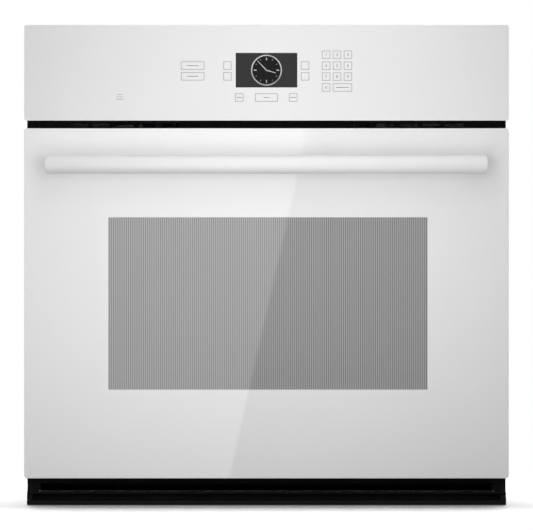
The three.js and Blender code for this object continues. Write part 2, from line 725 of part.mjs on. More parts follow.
// Cup behind the side wall, open to the cavity and necked for the bulb's holder.
function lampHousing() {
  const { radius, wall, neck } = LAMP;
  return alongX(
    turned([
      [radius - wall, 0],
      [radius, 0],
      [radius, LAMP_DEPTH],
      [neck, LAMP_DEPTH],
      [neck, LAMP_DEPTH - wall],
      [radius - wall, LAMP_DEPTH - wall],
      [radius - wall, 0],
    ]),
  );
}
// Domed glass with a rim that seats in the cup.
function lampLens() {
  const r = LAMP.radius - LAMP.wall - GAP;
  return alongX(
    turned([
      [0, 7.5],
      [r * 0.6, 6],
      [r, 1],
      [r, -3],
      [r - 3, -3],
      [r - 3, 0.5],
      [r * 0.55, 3],
      [0, 4.5],
    ].reverse()),
  );
}
function lampBulb() {
  const { bulb } = LAMP;
  return alongX(
    turned([
      [0, 0],
      [bulb, 0],
      [bulb, 12],
      [bulb - 2, 14],
      [bulb + 1, 20],
      [bulb + 1, 26],
      [bulb - 3, 31],
      [0, 32],
    ]),
  );
}

function temperatureSensor() {
  const flange = block(-14, 14, -1.5 - GAP, -GAP, -6, 6);
  const probe = rod([0, -SENSOR.length, 0], [0, 50, 0], SENSOR.radius, 10);
  return join(flange, probe);
}

// A wire rack lying level: rim, lengthwise wires over two cross bars, and a raised rear stop.
function rack() {
  const half = MOUTH_HALF - RACK.play;
  const { rim, wire, depth } = RACK;
  const frame = cut(
    block(-half, half, 0, depth, -rim, 0),
    block(-half + rim, half - rim, rim, depth - rim, -rim - 1, 1),
  );
  const stop = cut(
    block(-half, half, depth - rim, depth, -rim, RACK.stop),
    block(-half + rim, half - rim, depth - rim - 1, depth + 1, -rim - 1, RACK.stop - rim),
  );
  const bars = [0.32, 0.68].map((k) =>
    block(-half + rim / 2, half - rim / 2, depth * k, depth * k + rim / 2, -rim, -wire - GAP),
  );
  const wires = range(RACK.wires).map((i) => {
    const x = -half + ((i + 1) * 2 * half) / (RACK.wires + 1);
    return block(x - wire / 2, x + wire / 2, rim / 2, depth - rim / 2, -wire, -GAP / 2);
  });
  return join(frame, stop, ...bars, ...wires);
}

// ---------------------------------------------------------------- electronics bay
function bayFloor() {
  const half = INSIDE_HALF - 1;
  const skin = block(-half, half, 4, CAVITY_DEPTH + 40, 0, SHEET);
  const latchRoom = block(-27, 27, 0, 58, -5, 5);
  const rib = block(-half, half, CAVITY_DEPTH + 40 - SHEET, CAVITY_DEPTH + 40, 0, 14);
  return cut(join(skin, rib), latchRoom);
}

function relayBoard() {
  const card = block(-90, 90, -60, 60, 8, 9.6);
  const posts = [-80, 80].flatMap((x) => [-50, 50].map((y) => rod([x, y, 0], [x, y, 8.5], 3, 8)));
  const relays = range(6).map((i) => block(-80 + i * 26, -60 + i * 26, 15, 43, 9, 25));
  const transformer = block(-75, -25, -45, -5, 9, 44);
  const capacitors = [10, 34].map((x) => rod([x, -28, 9], [x, -28, 34], 8, 12));
  const plug = block(52, 82, -50, -20, 9, 22);
  return join(card, ...posts, ...relays, transformer, ...capacitors, plug);
}

const scrollRadius = (a) => BLOWER.wheel + BLOWER.clearance + 5 * a;
function scrollShape(grow) {
  const steps = 20;
  const points = [];
  for (let i = 0; i <= steps; i++) {
    const a = (1.5 * Math.PI * i) / steps;
    const r = scrollRadius(a) + grow;
    points.push(new THREE.Vector2(-r * Math.sin(a - Math.PI / 2), r * Math.cos(a - Math.PI / 2) * -1));
  }
  return points;
}

// Spiral fan casing lying flat, blowing towards +Y.
function blowerHousing() {
  const high = BLOWER.height + 12;
  const spiral = (grow, z0, z1) => {
    const points = scrollShape(grow);
    const end = points[points.length - 1];
    const mouth = 118 + (grow < 0 ? 2 : 0);
    const shape = new THREE.Shape([
      ...points,
      new THREE.Vector2(end.x, mouth),
      new THREE.Vector2(points[0].x, mouth),
    ]);
    return extrudeZ(shape, z0, z1);
  };
  const inlet = rod([0, 0, high - 5], [0, 0, high + 5], 42, 24);
  return cut(spiral(0, 0, high), spiral(-BLOWER.wall, BLOWER.wall, high - BLOWER.wall), inlet);
}

function blowerWheel() {
  const r = BLOWER.wheel;
  const disc = turned([[0, 0], [r, 0], [r, 1.5], [0, 1.5]]);
  const ring = [
    [r - 12, 0],
    [r, 0],
    [r, 1.5],
    [r - 12, 1.5],
    [r - 12, 0],
  ];
  const rim = turned(ring).translate(0, 0, BLOWER.height - 1.5);
  const hub = turned([[0, 0], [10, 0], [10, 16], [BLOWER.shaft, 18], [BLOWER.shaft, 76], [0, 76]], 12);
  const blades = range(BLOWER.blades).map((i) =>
    new THREE.BoxGeometry(11, 1.2, BLOWER.height)
      .rotateZ(0.5)
      .translate(r - 7, 0, BLOWER.height / 2)
      .rotateZ((2 * Math.PI * i) / BLOWER.blades),
  );
  return join(disc, rim, hub, ...blades);
}

function blowerMotor() {
  const bore = BLOWER.shaft + GAP;
  const shell = turned([
    [bore, 8],
    [26, 8],
    [26, 34],
    [20, 38],
    [0, 38],
    [0, 32],
    [bore, 32],
    [bore, 8],
  ]);
  const legs = [0, 1, 2].flatMap((i) => {
    const a = (2 * Math.PI * i) / 3;
    return [
      block(22, 52, -5, 5, 8, 10).rotateZ(a),
      block(48, 52, -5, 5, GAP, 9).rotateZ(a),
    ];
  });
  return join(shell, ...legs);
}

function junctionBox() {
  const { half, deep, height, wall, knockout } = SUPPLY_BOX;
  const outer = block(-half, half, -deep, deep, 0, height);
  const inner = block(-half + wall, half - wall, -deep + wall, deep - wall, wall, height + 1);
  const opening = rod([0, deep - wall - 1, height / 2], [0, deep + 1, height / 2], knockout, 16);
  return cut(outer, inner, opening);
}
function conduitFitting() {
  const { bore, hole, nut, thread, height } = CONDUIT;
  return turned(
    [
      [bore, -11],
      [hole - 1, -11],
      [hole - 1, 2],
      [nut, 2],
      [nut, 8],
      [thread, 8],
      [thread, height],
      [bore, height],
      [bore, -11],
    ],
    12,
  );
}

// ---------------------------------------------------------------- control panel
function controlGlass() {
  return roundedPlate(-HALF, HALF, -GLASS, 0, 0, PANEL_HEIGHT, GLASS_CORNER);
}

function controlHousing() {
  const half = BLACK_HALF - 3;
  const depth = FRONT_FACE - GLASS - GAP - FRAME_SHEET - GAP;
  const wall = 1.5;
  const [low, high] = [FACE_INSET, PANEL_HEIGHT - FACE_INSET];
  const outer = block(-half, half, 0, depth, low, high);
  const inner = block(-half + wall, half - wall, -1, depth - wall, low + wall, high - wall);
  const wiring = block(-150, 150, depth - 5, depth + 5, 50, 90);
  const vents = range(9).map((i) =>
    block(-202 + i * 46, -172 + i * 46, 14, 22, low - 5, low + 5),
  );
  return cut(outer, inner, wiring, ...vents);
}

function displayModule() {
  const [w, h] = [DISPLAY.width / 2 + DISPLAY.border, DISPLAY.height / 2 + DISPLAY.border];
  const frame = block(-w, w, 0, DISPLAY.depth, -h, h);
  const [halfWidth, halfHeight] = [DISPLAY.width / 2, DISPLAY.height / 2];
  const screen = block(-halfWidth, halfWidth, -1, 0.8, -halfHeight, halfHeight);
  const plug = block(20, 44, DISPLAY.depth - 1, DISPLAY.depth + 6, -8, 8);
  return join(cut(frame, screen), plug);
}

function touchBoard() {
  const [w, h] = [DISPLAY.width / 2 + DISPLAY.border + 1, DISPLAY.height / 2 + DISPLAY.border + 1];
  const card = block(-TOUCH.left, TOUCH.right, 0, TOUCH.board, TOUCH.foot, TOUCH.head);
  const window = block(-w, w, -1, 5, DISPLAY.rise - h, DISPLAY.rise + h);
  const plug = block(-112, -84, TOUCH.board - 0.5, 9, 60, 72);
  return join(cut(card, window), plug);
}

// ---------------------------------------------------------------- latch, switch and hinges
// Flat lock hook about its own pivot, drawn in the open position, with its drive pin.
function latchHook() {
  const { radius, eye, pin, thick, unlocked } = LATCH;
  const blade = new THREE.Shape(
    [
      [4, -7],
      [4, 7],
      [-radius + 10, 7],
      [-radius, 4],
      [-radius, -14],
      [-radius + 9, -14],
      [-radius + 9, -6],
    ].map(([x, y]) => new THREE.Vector2(x, y)),
  );
  const turn = ((90 - unlocked) * Math.PI) / 180;
  const boss = rod([0, 0, 0], [0, 0, thick], eye, 20);
  const drive = rod([0, 0, 0], [0, 0, thick + 10], pin, 12);
  return join(extrudeZ(blade, 0, thick), boss, drive).rotateZ(turn);
}

function latchBracket() {
  const deck = block(-40, 50, -26, 50, 0, 1.5);
  const foot = block(-40, 50, -26, -24.5, 0, 10);
  const hole = rod([0, 0, -2], [0, 0, 4], LATCH.pin + 0.5, 12);
  return cut(join(deck, foot), hole);
}
function latchMotor() {
  const bore = LATCH.pin + 0.5;
  return turned([
    [bore, 0],
    [24, 0],
    [24, 26],
    [20, 30],
    [0, 30],
    [0, 8],
    [bore, 8],
    [bore, 0],
  ]);
}

function doorSwitchBody() {
  const [w, h] = [SWITCH.width / 2, SWITCH.height / 2];
  const body = block(-w, w, 0, SWITCH.depth, -h, h);
  const bore = rod([0, -1, 0], [0, SWITCH.depth - 4, 0], SWITCH.bore, 12);
  const tabs = pair(5.5, 2.5, SWITCH.depth - 1, SWITCH.depth + 8, -0.5, 0.5);
  return join(cut(body, bore), ...tabs);
}
function switchPlunger() {
  const { plunger } = SWITCH;
  const length = DOOR_BACK + 14;
  const outline = [
    [0, 0],
    [plunger - 1, 0],
    [plunger, 1],
    [plunger, length],
    [0, length],
  ];
  return alongY(turned(outline, 12));
}

// Plate in the YZ plane about the pivot: cam, bar and claw, with the pivot pin across it.
function hingeArm() {
  const half = HINGE.armThick / 2;
  const low = HINGE.barHeight / 2;
  const steps = 12;
  const cam = range(steps + 1).map((i) => {
    const a = (Math.PI / 2) * (i / steps);
    const r = CAM.low + CAM.perRadian * a;
    return [-r * Math.sin(a), r * Math.cos(a)];
  });
  const claw = [
    [-11, -4],
    [-6, -low - 1.5],
    [0, -low - 2],
  ];
  const bar = [
    [10, -low],
    [HINGE.barReach, -low],
    [HINGE.barReach + 6, 0],
    [HINGE.barReach, low],
    [10, low],
    [5, CAM.low - 0.6],
  ];
  const outline = [...cam, ...claw, ...bar].map(([y, z]) => new THREE.Vector2(y, z));
  const blade = extrudeX(new THREE.Shape(outline), -half, half);
  const notch = rod([-9, HINGE.notch, -low], [9, HINGE.notch, -low], 3.2, 12);
  const reach = CHANNEL.width / 2 + 1;
  const pin = rod([-reach, 0, 0], [reach, 0, 0], HINGE.pin, 12);
  return join(cut(blade, notch), pin);
}

// Channel behind the front frame, with a cross bar that the arm's notch drops over.
function hingeReceiver() {
  const [clear, wall, length] = [HINGE.armThick / 2 + 1, 2, 68];
  const [low, high] = [-11, 14];
  const wide = clear + wall;
  const walls = pair(clear + wall / 2, wall / 2, GAP, length, low, high);
  const floor = block(-wide, wide, GAP, length, low, low + wall);
  const [barY, barZ] = [HINGE.notch + HINGE_Y, -HINGE.barHeight / 2];
  return join(...walls, floor, rod([-wide, barY, barZ], [wide, barY, barZ], 2.5, 10));
}

// ---------------------------------------------------------------- door
// The door's own frame: x = 0 in the middle, y = 0 at its back face, z = 0 at its lower edge.
const HANDLE_Z = DOOR_HEIGHT - HANDLE.belowTop;
const POST_X = HANDLE.length / 2 - POST.fromEnd;
const GLASS_BACK = -DOOR_THICKNESS + GLASS;
const postHoles = (y0, y1, radius) =>
  [-POST_X, POST_X].map((x) => rod([x, y0, HANDLE_Z], [x, y1, HANDLE_Z], radius, 16));
const WINDOW_HEAD = DOOR_HEIGHT - WINDOW.head;
const WINDOW_HALF = HALF - WINDOW.sideMargin;
const WINDOW_MIDDLE = (WINDOW.foot + WINDOW_HEAD) / 2;
const INNER_HALF = WINDOW_HALF - INNER_WINDOW.shrink;
const INNER_TALL = (WINDOW_HEAD - WINDOW.foot) / 2 - INNER_WINDOW.shrink;

function doorOuterGlass() {
  const pane = roundedPlate(-HALF, HALF, -DOOR_THICKNESS, GLASS_BACK, 0, DOOR_HEIGHT, GLASS_CORNER);
  return cut(pane, ...postHoles(-DOOR_THICKNESS - 1, GLASS_BACK + 1, POST.stud + POST.play));
}

function doorFrame() {
  const [wall, rail, headRail] = [1.5, 30, 76];
  const [front, back] = [GLASS_BACK + GAP, -SHEET - GAP];
  const [low, high] = [FACE_INSET, DOOR_HEIGHT - FACE_INSET];
  const outer = block(-BLACK_HALF, BLACK_HALF, front, back, low, high);
  const hollow = block(
    -BLACK_HALF + wall,
    BLACK_HALF - wall,
    front + wall,
    back + 1,
    low + wall,
    high - wall,
  );
  const light = block(
    -BLACK_HALF + rail,
    BLACK_HALF - rail,
    front - 1,
    front + wall + 1,
    low + rail,
    high - headRail,
  );
  const vents = range(10).map((i) =>
    block(-292 + i * 60, -248 + i * 60, -20, -14, high - 5, high + 5),
  );
  const feet = pair(HINGE_X, 8, -HINGE.inset - HINGE.barHeight / 2 - 4, back + 1, low - 1, low + 3);
  const studHoles = postHoles(front - 1, front + 3, POST.stud + POST.play);
  return cut(outer, hollow, light, ...vents, ...feet, ...studHoles);
}

function doorInnerPanel() {
  const rimHalf = BLACK_HALF - 2;
  const [low, high] = [8, DOOR_HEIGHT - 8];
  const half = MOUTH_HALF - PLUG.clearance;
  const plugLow = CAVITY_ABOVE_DOOR_FOOT + PLUG.clearance;
  const plugHigh = DOOR_HEIGHT - CAVITY_BELOW_DOOR_TOP - PLUG.clearance;
  const rim = roundedPlate(-rimHalf, rimHalf, -SHEET, 0, low, high, 5);
  const boss = roundedPlate(-half, half, -SHEET, PLUG.depth, plugLow, plugHigh, CAVITY_CORNER);
  const hollow = roundedPlate(
    -half + SHEET,
    half - SHEET,
    -SHEET - 1,
    PLUG.depth - SHEET,
    plugLow + SHEET,
    plugHigh - SHEET,
    CAVITY_CORNER - SHEET,
  );
  const window = roundedPlate(
    -INNER_HALF,
    INNER_HALF,
    0,
    PLUG.depth + 1,
    WINDOW_MIDDLE - INNER_TALL,
    WINDOW_MIDDLE + INNER_TALL,
    8,
  );
  const feet = pair(HINGE_X, 8, -5, 5, low - 1, HINGE.rise + HINGE.barHeight / 2 + 4);
  const latchZ = LATCH_Z - DOOR_FOOT;
  const latchSlot = block(-42, 24, -5, 5, latchZ - 3, latchZ + LATCH.thick + 3);
  return cut(join(rim, boss), hollow, window, ...feet, latchSlot);
}

const pane = (grow, y) =>
  roundedPlate(
    -INNER_HALF - grow,
    INNER_HALF + grow,
    y,
    y + GLASS,
    WINDOW_MIDDLE - INNER_TALL - grow,
    WINDOW_MIDDLE + INNER_TALL + grow,
    6,
  );
const doorInnerGlass = () => pane(INNER_WINDOW.lip, PLUG.depth - SHEET - GAP - GLASS);
const doorMiddleGlass = () => pane(INNER_WINDOW.lip + 12, -20);

function doorInsulation() {
  const half = MOUTH_HALF - 4;
  const grow = INNER_WINDOW.lip + 14;
  const wool = block(-half, half, -31, -SHEET - GAP, 36, HANDLE_Z - 16);
  const window = block(
    -INNER_HALF - grow,
    INNER_HALF + grow,
    -40,
    5,
    WINDOW_MIDDLE - INNER_TALL - grow,
    WINDOW_MIDDLE + INNER_TALL + grow,
  );
  return cut(wool, window);
}

// Bar with a bowed front and gently bowed ends.
function handleBar() {
  const [half, tall] = [HANDLE.length / 2, HANDLE.height / 2];
  const bow = 11;
  const corner = 4;
  const section = new THREE.Shape();
  section.moveTo(0, -tall + corner);
  section.absarc(-corner, tall - corner, corner, 0, Math.PI / 2, false);
  section.absellipse(-HANDLE.depth + bow, 0, bow, tall, Math.PI / 2, 1.5 * Math.PI, false, 0);
  section.absarc(-corner, -tall + corner, corner, -Math.PI / 2, 0, false);
  const bar = extrudeX(section, -half, half, 12);
  const radius = (tall * tall + HANDLE.endBow * HANDLE.endBow) / (2 * HANDLE.endBow);
  const sweep = Math.asin(tall / radius);
  const front = new THREE.Shape();
  front.absarc(half - radius, 0, radius, -sweep, sweep, false);
  front.absarc(radius - half, 0, radius, Math.PI - sweep, Math.PI + sweep, false);
  front.closePath();
  const outline = plate(front, -HANDLE.depth - 1, 1, 10);
  return common(bar, outline);
}

function handlePost() {
  const length = HANDLE.reach - HANDLE.depth - 2 * GAP;
  return alongY(
    turned([
      [0, -length],
      [POST.waist + 1, -length],
      [POST.waist, -length * 0.8],
      [POST.waist, -length * 0.45],
      [POST.foot - 1, -length * 0.12],
      [POST.foot, 0],
      [POST.stud, 0],
      [POST.stud, POST.studLength],
      [0, POST.studLength],
    ]),
  );
}

function hingeChannel() {
  const half = CHANNEL.width / 2;
  const head = CHANNEL.foot + CHANNEL.length;
  const outer = block(-half, half, -CHANNEL.front, -CHANNEL.back, CHANNEL.foot, head);
  const inner = block(
    -half + CHANNEL.wall,
    half - CHANNEL.wall,
    -CHANNEL.front + CHANNEL.wall,
    0,
    CHANNEL.foot - 1,
    CHANNEL.foot + CHANNEL.length - CHANNEL.wall,
  );
  const pinHole = rod(
    [-half - 1, -HINGE.inset, HINGE.rise],
    [half + 1, -HINGE.inset, HINGE.rise],
    HINGE.pin + GAP,
    14,
  );
  return cut(outer, inner, pinHole);
}

// Roller, fork and rod about the pivot, along +Z inside the channel.
function hingeRod() {
  const centre = CAM.low + CAM.roller + CAM.play;
  const roller = rod([-6, 0, centre], [6, 0, centre], CAM.roller, 16);
  const forks = [-1, 1].map((side) =>
    block(side * 7 - 1.5, side * 7 + 1.5, -4, 4, centre - 3, centre + 14),
  );
  const head = block(-8.5, 8.5, -5, 5, centre + 10, centre + 16);
  const stem = rod([0, 0, centre + 14], [0, 0, centre + 190], 3.5, 10);
  const collar = turned([[0, 0], [9, 0], [9, 3], [0, 3]], 16).translate(0, 0, centre + 24);
  return join(roller, ...forks, head, stem, collar);
}

// ---------------------------------------------------------------- assembly
const oven = new THREE.Group();
oven.position.y = (FRONT_REACH - RECESS_DEPTH) / 2;

const casing = new THREE.Group();
casing.add(
  mesh("base_pan", basePan(), galvanised(), [0, 0, RUNNER_HEIGHT]),
  mesh("top_cover", topCover(), galvanised(), [0, 0, BODY_TOP]),
  mesh("rear_cover", rearCover(), galvanised()),
  mesh("front_frame", frontFrame(), blackPaint()),
  mesh("lower_vent_trim", lowerVentTrim(), blackPaint()),
);
for (const [name, side] of SIDES)
  casing.add(
    mesh(name + "_side_panel", flipX(sidePanel(), side), galvanised()),
    mesh("side_trim_" + name, flipX(sideTrim(), side), blackPaint()),
    mesh("base_runner_" + name, baseRunner(), galvanised(), [side * (BODY_HALF - RUNNER.fromSide), 0, 0]),
    mesh("hinge_receiver_" + name, hingeReceiver(), galvanised(), [side * HINGE_X, 0, HINGE_Z]),
    mesh("hinge_arm_" + name, hingeArm(), stainless(), [side * HINGE_X, HINGE_Y, HINGE_Z]),
  );

const cavity = new THREE.Group();
const atFan = (y) => [0, y, MOUTH_MIDDLE];
cavity.add(
  mesh("oven_cavity", ovenCavity(), enamel()),
  mesh("cavity_insulation", cavityInsulation(), fibre()),
  mesh("door_gasket", doorGasket(), braid()),
  mesh("broil_element", broilElement(), element(), [0, 0, BROIL_Z]),
  mesh("bake_element", bakeElement(), element(), [0, 0, BAKE_Z]),
  mesh("convection_element", convectionElement(), element(), atFan(CAVITY_DEPTH - FAN.fromWall)),
  mesh("fan_cover", fanCover(), enamel(), atFan(CAVITY_DEPTH)),
  mesh("convection_fan", convectionFan(), stainless(), atFan(CAVITY_DEPTH - FAN.fromWall)),
  mesh("fan_motor", fanMotor(), galvanised(), atFan(CAVITY_DEPTH + SHEET + BLANKET.behind + 2)),
  mesh("lamp_housing", lampHousing().rotateZ(Math.PI), galvanised(), [
    -MOUTH_HALF - SHEET - GAP,
    LAMP_Y,
    LAMP_Z,
  ]),
  mesh("lamp_lens", lampLens(), clearGlass(), [-MOUTH_HALF - 0.5, LAMP_Y, LAMP_Z]),
  mesh("lamp_bulb", lampBulb(), clearGlass(), [-MOUTH_HALF - LAMP_DEPTH + 3, LAMP_Y, LAMP_Z]),
  mesh("temperature_sensor", temperatureSensor(), stainless(), [SENSOR_X, CAVITY_DEPTH, SENSOR_Z]),
);
const RACKS = [
  ["lower", 2],
  ["middle", 4],
  ["upper", 6],
];
for (const [name, level] of RACKS)
  cavity.add(
    mesh("rack_" + name, rack(), chrome(), [0, RACK.front, levelHeight(level) + RACK.rim + GAP]),
  );

const bay = new THREE.Group();
bay.position.z = BAY_FLOOR;
const BLOWER_AT = [120, 300];
bay.add(
  mesh("bay_floor", bayFloor(), galvanised()),
  mesh("relay_board", relayBoard(), board(), [-170, 260, SHEET + GAP]),
  mesh("blower_housing", blowerHousing(), galvanised(), [...BLOWER_AT, SHEET + GAP]),
  mesh("blower_wheel", blowerWheel(), stainless(), [...BLOWER_AT, SHEET + GAP + 5]),
  mesh("blower_motor", blowerMotor(), plastic(), [...BLOWER_AT, SHEET + GAP + BLOWER.height + 12]),
);
casing.add(
  mesh("junction_box", junctionBox(), galvanised(), [CONDUIT_X, CONDUIT_Y, BODY_TOP - SUPPLY_BOX.below]),
  mesh("conduit_fitting", conduitFitting(), galvanised(), [CONDUIT_X, CONDUIT_Y, BODY_TOP + GAP]),
);

const control = new THREE.Group();
control.position.set(0, -FRONT_FACE + GLASS, OVERALL_HEIGHT - PANEL_HEIGHT);
control.add(
  mesh("control_panel_glass", controlGlass(), whiteGlass()),
  mesh("control_panel_housing", controlHousing(), blackPaint(), [0, GAP, 0]),
  mesh("display_module", displayModule(), plastic(), [0, GAP, DISPLAY.rise]),
  mesh("touch_board", touchBoard(), board(), [0, GAP, 0]),
);

const lock = new THREE.Group();
lock.position.set(0, LATCH.depth, LATCH_Z);
lock.add(
  mesh("latch_hook", latchHook(), stainless()),
  mesh("latch_bracket", latchBracket(), galvanised(), [0, 0, LATCH.thick + 2]),
  mesh("latch_motor", latchMotor(), plastic(), [0, 0, LATCH.thick + 4]),
);
casing.add(
  mesh("door_switch_body", doorSwitchBody(), plastic(), [SWITCH.x, GAP, SWITCH_Z]),
  mesh("door_switch_plunger", switchPlunger(), plastic(), [SWITCH.x, -DOOR_BACK + GAP, SWITCH_Z]),
);

const door = new THREE.Group();
door.position.set(0, -DOOR_BACK, DOOR_FOOT);
door.add(
  mesh("door_outer_glass", doorOuterGlass(), whiteGlass()),
  mesh("door_frame", doorFrame(), blackPaint()),
  mesh("door_inner_panel", doorInnerPanel(), enamel()),
  mesh("door_middle_glass", doorMiddleGlass(), clearGlass()),
  mesh("door_inner_glass", doorInnerGlass(), clearGlass()),
  mesh("door_insulation", doorInsulation(), fibre()),
  mesh("handle_bar", handleBar(), whitePaint(), [
    0,
    -DOOR_THICKNESS - HANDLE.reach + HANDLE.depth,
    HANDLE_Z,
  ]),
);
for (const [name, side] of SIDES)
  door.add(
    mesh("handle_post_" + name, handlePost(), whitePaint(), [
      side * POST_X,
      -DOOR_THICKNESS - GAP,
      HANDLE_Z,
    ]),
    mesh("hinge_channel_" + name, hingeChannel(), galvanised(), [side * HINGE_X, 0, 0]),
    mesh("hinge_rod_" + name, hingeRod(), stainless(), [side * HINGE_X, -HINGE.inset, HINGE.rise]),
  );

oven.add(casing, cavity, bay, control, lock, door);
const group = new THREE.Group();
group.add(oven);
export default group;
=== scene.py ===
"""Looks of a built-in wall oven with white glass fronts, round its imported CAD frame.

Lengths are millimetres in the row frame until a mesh is made, and metres after that.
The front faces -Y, and every place is worked out from the CAD nodes' boxes.
"""

import math

import bmesh
import bpy
from mathutils import Matrix, Vector

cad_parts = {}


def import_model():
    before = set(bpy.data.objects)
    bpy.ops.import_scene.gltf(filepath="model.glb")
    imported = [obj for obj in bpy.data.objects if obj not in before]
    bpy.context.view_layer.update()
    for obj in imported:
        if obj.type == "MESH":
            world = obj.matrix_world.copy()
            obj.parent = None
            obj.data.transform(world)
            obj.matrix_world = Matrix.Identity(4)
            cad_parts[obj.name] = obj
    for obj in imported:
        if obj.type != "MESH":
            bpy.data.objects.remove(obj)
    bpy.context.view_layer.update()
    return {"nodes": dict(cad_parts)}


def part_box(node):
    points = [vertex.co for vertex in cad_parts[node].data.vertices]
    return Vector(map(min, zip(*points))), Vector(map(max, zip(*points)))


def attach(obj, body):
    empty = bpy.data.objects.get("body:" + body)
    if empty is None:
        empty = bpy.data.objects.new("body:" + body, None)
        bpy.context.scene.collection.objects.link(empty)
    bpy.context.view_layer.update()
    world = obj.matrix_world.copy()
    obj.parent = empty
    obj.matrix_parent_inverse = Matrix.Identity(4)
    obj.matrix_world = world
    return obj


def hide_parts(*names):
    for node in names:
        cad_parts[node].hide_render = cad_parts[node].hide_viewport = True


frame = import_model()

MM = 0.001
SIDES = (("left", -1), ("right", 1))
RACK_NAMES = ("lower", "middle", "upper")


def corners(node):
    """Lowest and highest corner of a CAD node at rest, in millimetres."""
    low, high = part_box(node)
    return low / MM, high / MM


def middle(node):
    low, high = corners(node)
    return (low + high) / 2


# ---- camera
IMAGE_WIDTH = 533
PLANE_PER_PIXEL = 1.5598  # millimetres at the glass for each pixel
LENS = 500
SENSOR = 36
VIEW_HEIGHT = 374.8
FACE_Y = corners("door_outer_glass")[0].y
CAMERA_DISTANCE = IMAGE_WIDTH * PLANE_PER_PIXEL * LENS / SENSOR


def placed(name, data):
    """A new object in the scene."""
    made = bpy.data.objects.new(name, data)
    bpy.context.scene.collection.objects.link(made)
    return made


def make_camera():
    data = bpy.data.cameras.new("camera")
    data.lens = LENS
    data.sensor_width = SENSOR
    data.clip_end = 100
    camera = placed("camera", data)
    camera.location = Vector((0, FACE_Y - CAMERA_DISTANCE, VIEW_HEIGHT)) * MM
    camera.rotation_euler = (math.radians(90), 0, 0)
    bpy.context.scene.camera = camera


# ---- finishes
for plain in list(bpy.data.materials):
    bpy.data.materials.remove(plain)


class Nodes:
    """A material's node tree, with short calls to add to it."""

    def __init__(self, name):
        self.material = bpy.data.materials.new(name)
        self.material.use_nodes = True
        self.tree = self.material.node_tree
        self.shader = self.tree.nodes["Principled BSDF"]
        self.place = self.add("TexCoord").outputs["Object"]

    def add(self, kind, inputs=(), **values):
        node = self.tree.nodes.new("ShaderNode" + kind)
        for key, value in values.items():
            setattr(node, key, value)
        for key, value in dict(inputs).items():
            self.feed(value, node.inputs[key])
        return node

    def link(self, source, target):
        self.tree.links.new(source, target)

    def feed(self, value, socket):
        """Links a socket to another, or gives it a plain value."""
        if isinstance(value, bpy.types.NodeSocket):
            self.link(value, socket)
        else:
            socket.default_value = (*value, 1) if socket.type == "RGBA" else value

    def surface(self, node):
        """Shows a shader other than the principled one."""
        self.link(node.outputs[0], self.tree.nodes["Material Output"].inputs["Surface"])
        return self.material

    def stretched(self, scale):
        return self.add("Mapping", {"Scale": scale, "Vector": self.place}).outputs["Vector"]

    def noise(self, scale, detail=4, rough=0.55, place=None):
        inputs = {"Scale": scale, "Detail": detail, "Roughness": rough, "Vector": place or self.place}
        return self.add("TexNoise", inputs).outputs["Fac"]

    def cells(self, scale, output="Distance"):
        return self.add("TexVoronoi", {"Scale": scale, "Vector": self.place}).outputs[output]

    def ramp(self, factor, *stops):
        """stops are (position, colour or grey)."""
        node = self.add("ValToRGB")
        elements = node.color_ramp.elements
        while len(elements) < len(stops):
            elements.new(0.5)
        for element, (position, colour) in zip(elements, stops):
            element.position = position
            rgb = colour if isinstance(colour, tuple) else (colour,) * 3
            element.color = (*rgb, 1)
        self.link(factor, node.inputs["Fac"])
        return node.outputs["Color"]

    def shade(self, factor, low, high):
        """A tone between two, over the middle of a noise's range."""
        return self.ramp(factor, (0.3, low), (0.7, high))

    def between(self, factor, low, high, from_low=0.3, from_high=0.7):
        limits = {"From Min": from_low, "From Max": from_high, "To Min": low, "To Max": high}
        return self.add("MapRange", {**limits, "Value": factor}).outputs["Result"]

    def mixed(self, factor, first, second, blend="MIX"):
        colours = {0: factor, 6: first, 7: second}
        return self.add("Mix", colours, data_type="RGBA", blend_type=blend).outputs[2]

    def math(self, operation, first, second):
        return self.add("Math", {0: first, 1: second}, operation=operation).outputs[0]

    def edges(self, low=0.52, high=0.6):
        """1 on convex edges, where a finish wears."""
        return self.between(self.add("NewGeometry").outputs["Pointiness"], 0, 1, low, high)

    def bump(self, height, distance, strength=0.5):
        inputs = {"Strength": strength, "Distance": distance * MM, "Height": height}
        node = self.add("Bump", inputs)
        self.link(node.outputs["Normal"], self.shader.inputs["Normal"])

    def set(self, **values):
        for key, value in values.items():
            self.feed(value, self.shader.inputs[key.replace("_", " ")])
        return self.material


def even_finish(name, tone, bump, rough, **values):
    """A finish of cloudy tone, bump and roughness; each starts with its noise's scale and detail."""
    n = Nodes(name)
    n.set(Base_Color=n.shade(n.noise(*tone[0]), *tone[1:]))
    n.bump(n.noise(*bump[0]), *bump[1:])
    return n.set(Roughness=n.between(n.noise(*rough[0]), *rough[1:]), **values)


def display_glass():
    """Smoked screen with the display's dark grey ground behind it."""
    n = Nodes("display_glass")
    grain = n.cells(1500)
    n.set(Base_Color=n.ramp(grain, (0.0, (0.024, 0.024, 0.025)), (0.6, (0.030, 0.030, 0.031))))
    n.bump(n.noise(30, 2), 0.01, 0.1)
    return n.set(Roughness=n.between(n.noise(40, 4), 0.05, 0.1), Specular_IOR_Level=0.3)


def dial_silver():
    """Lit silver ring and hands of the clock."""
    n = Nodes("dial_silver")
    brush = n.noise(260, 3, place=n.stretched((1, 1, 6)))
    shine = n.ramp(n.noise(32, 1), (0.35, (0.20, 0.20, 0.205)), (0.65, (0.52, 0.52, 0.53)))
    n.set(Base_Color=shine, Emission_Color=shine, Emission_Strength=0.06)
    n.bump(brush, 0.01, 0.2)
    return n.set(Roughness=n.between(brush, 0.25, 0.4))


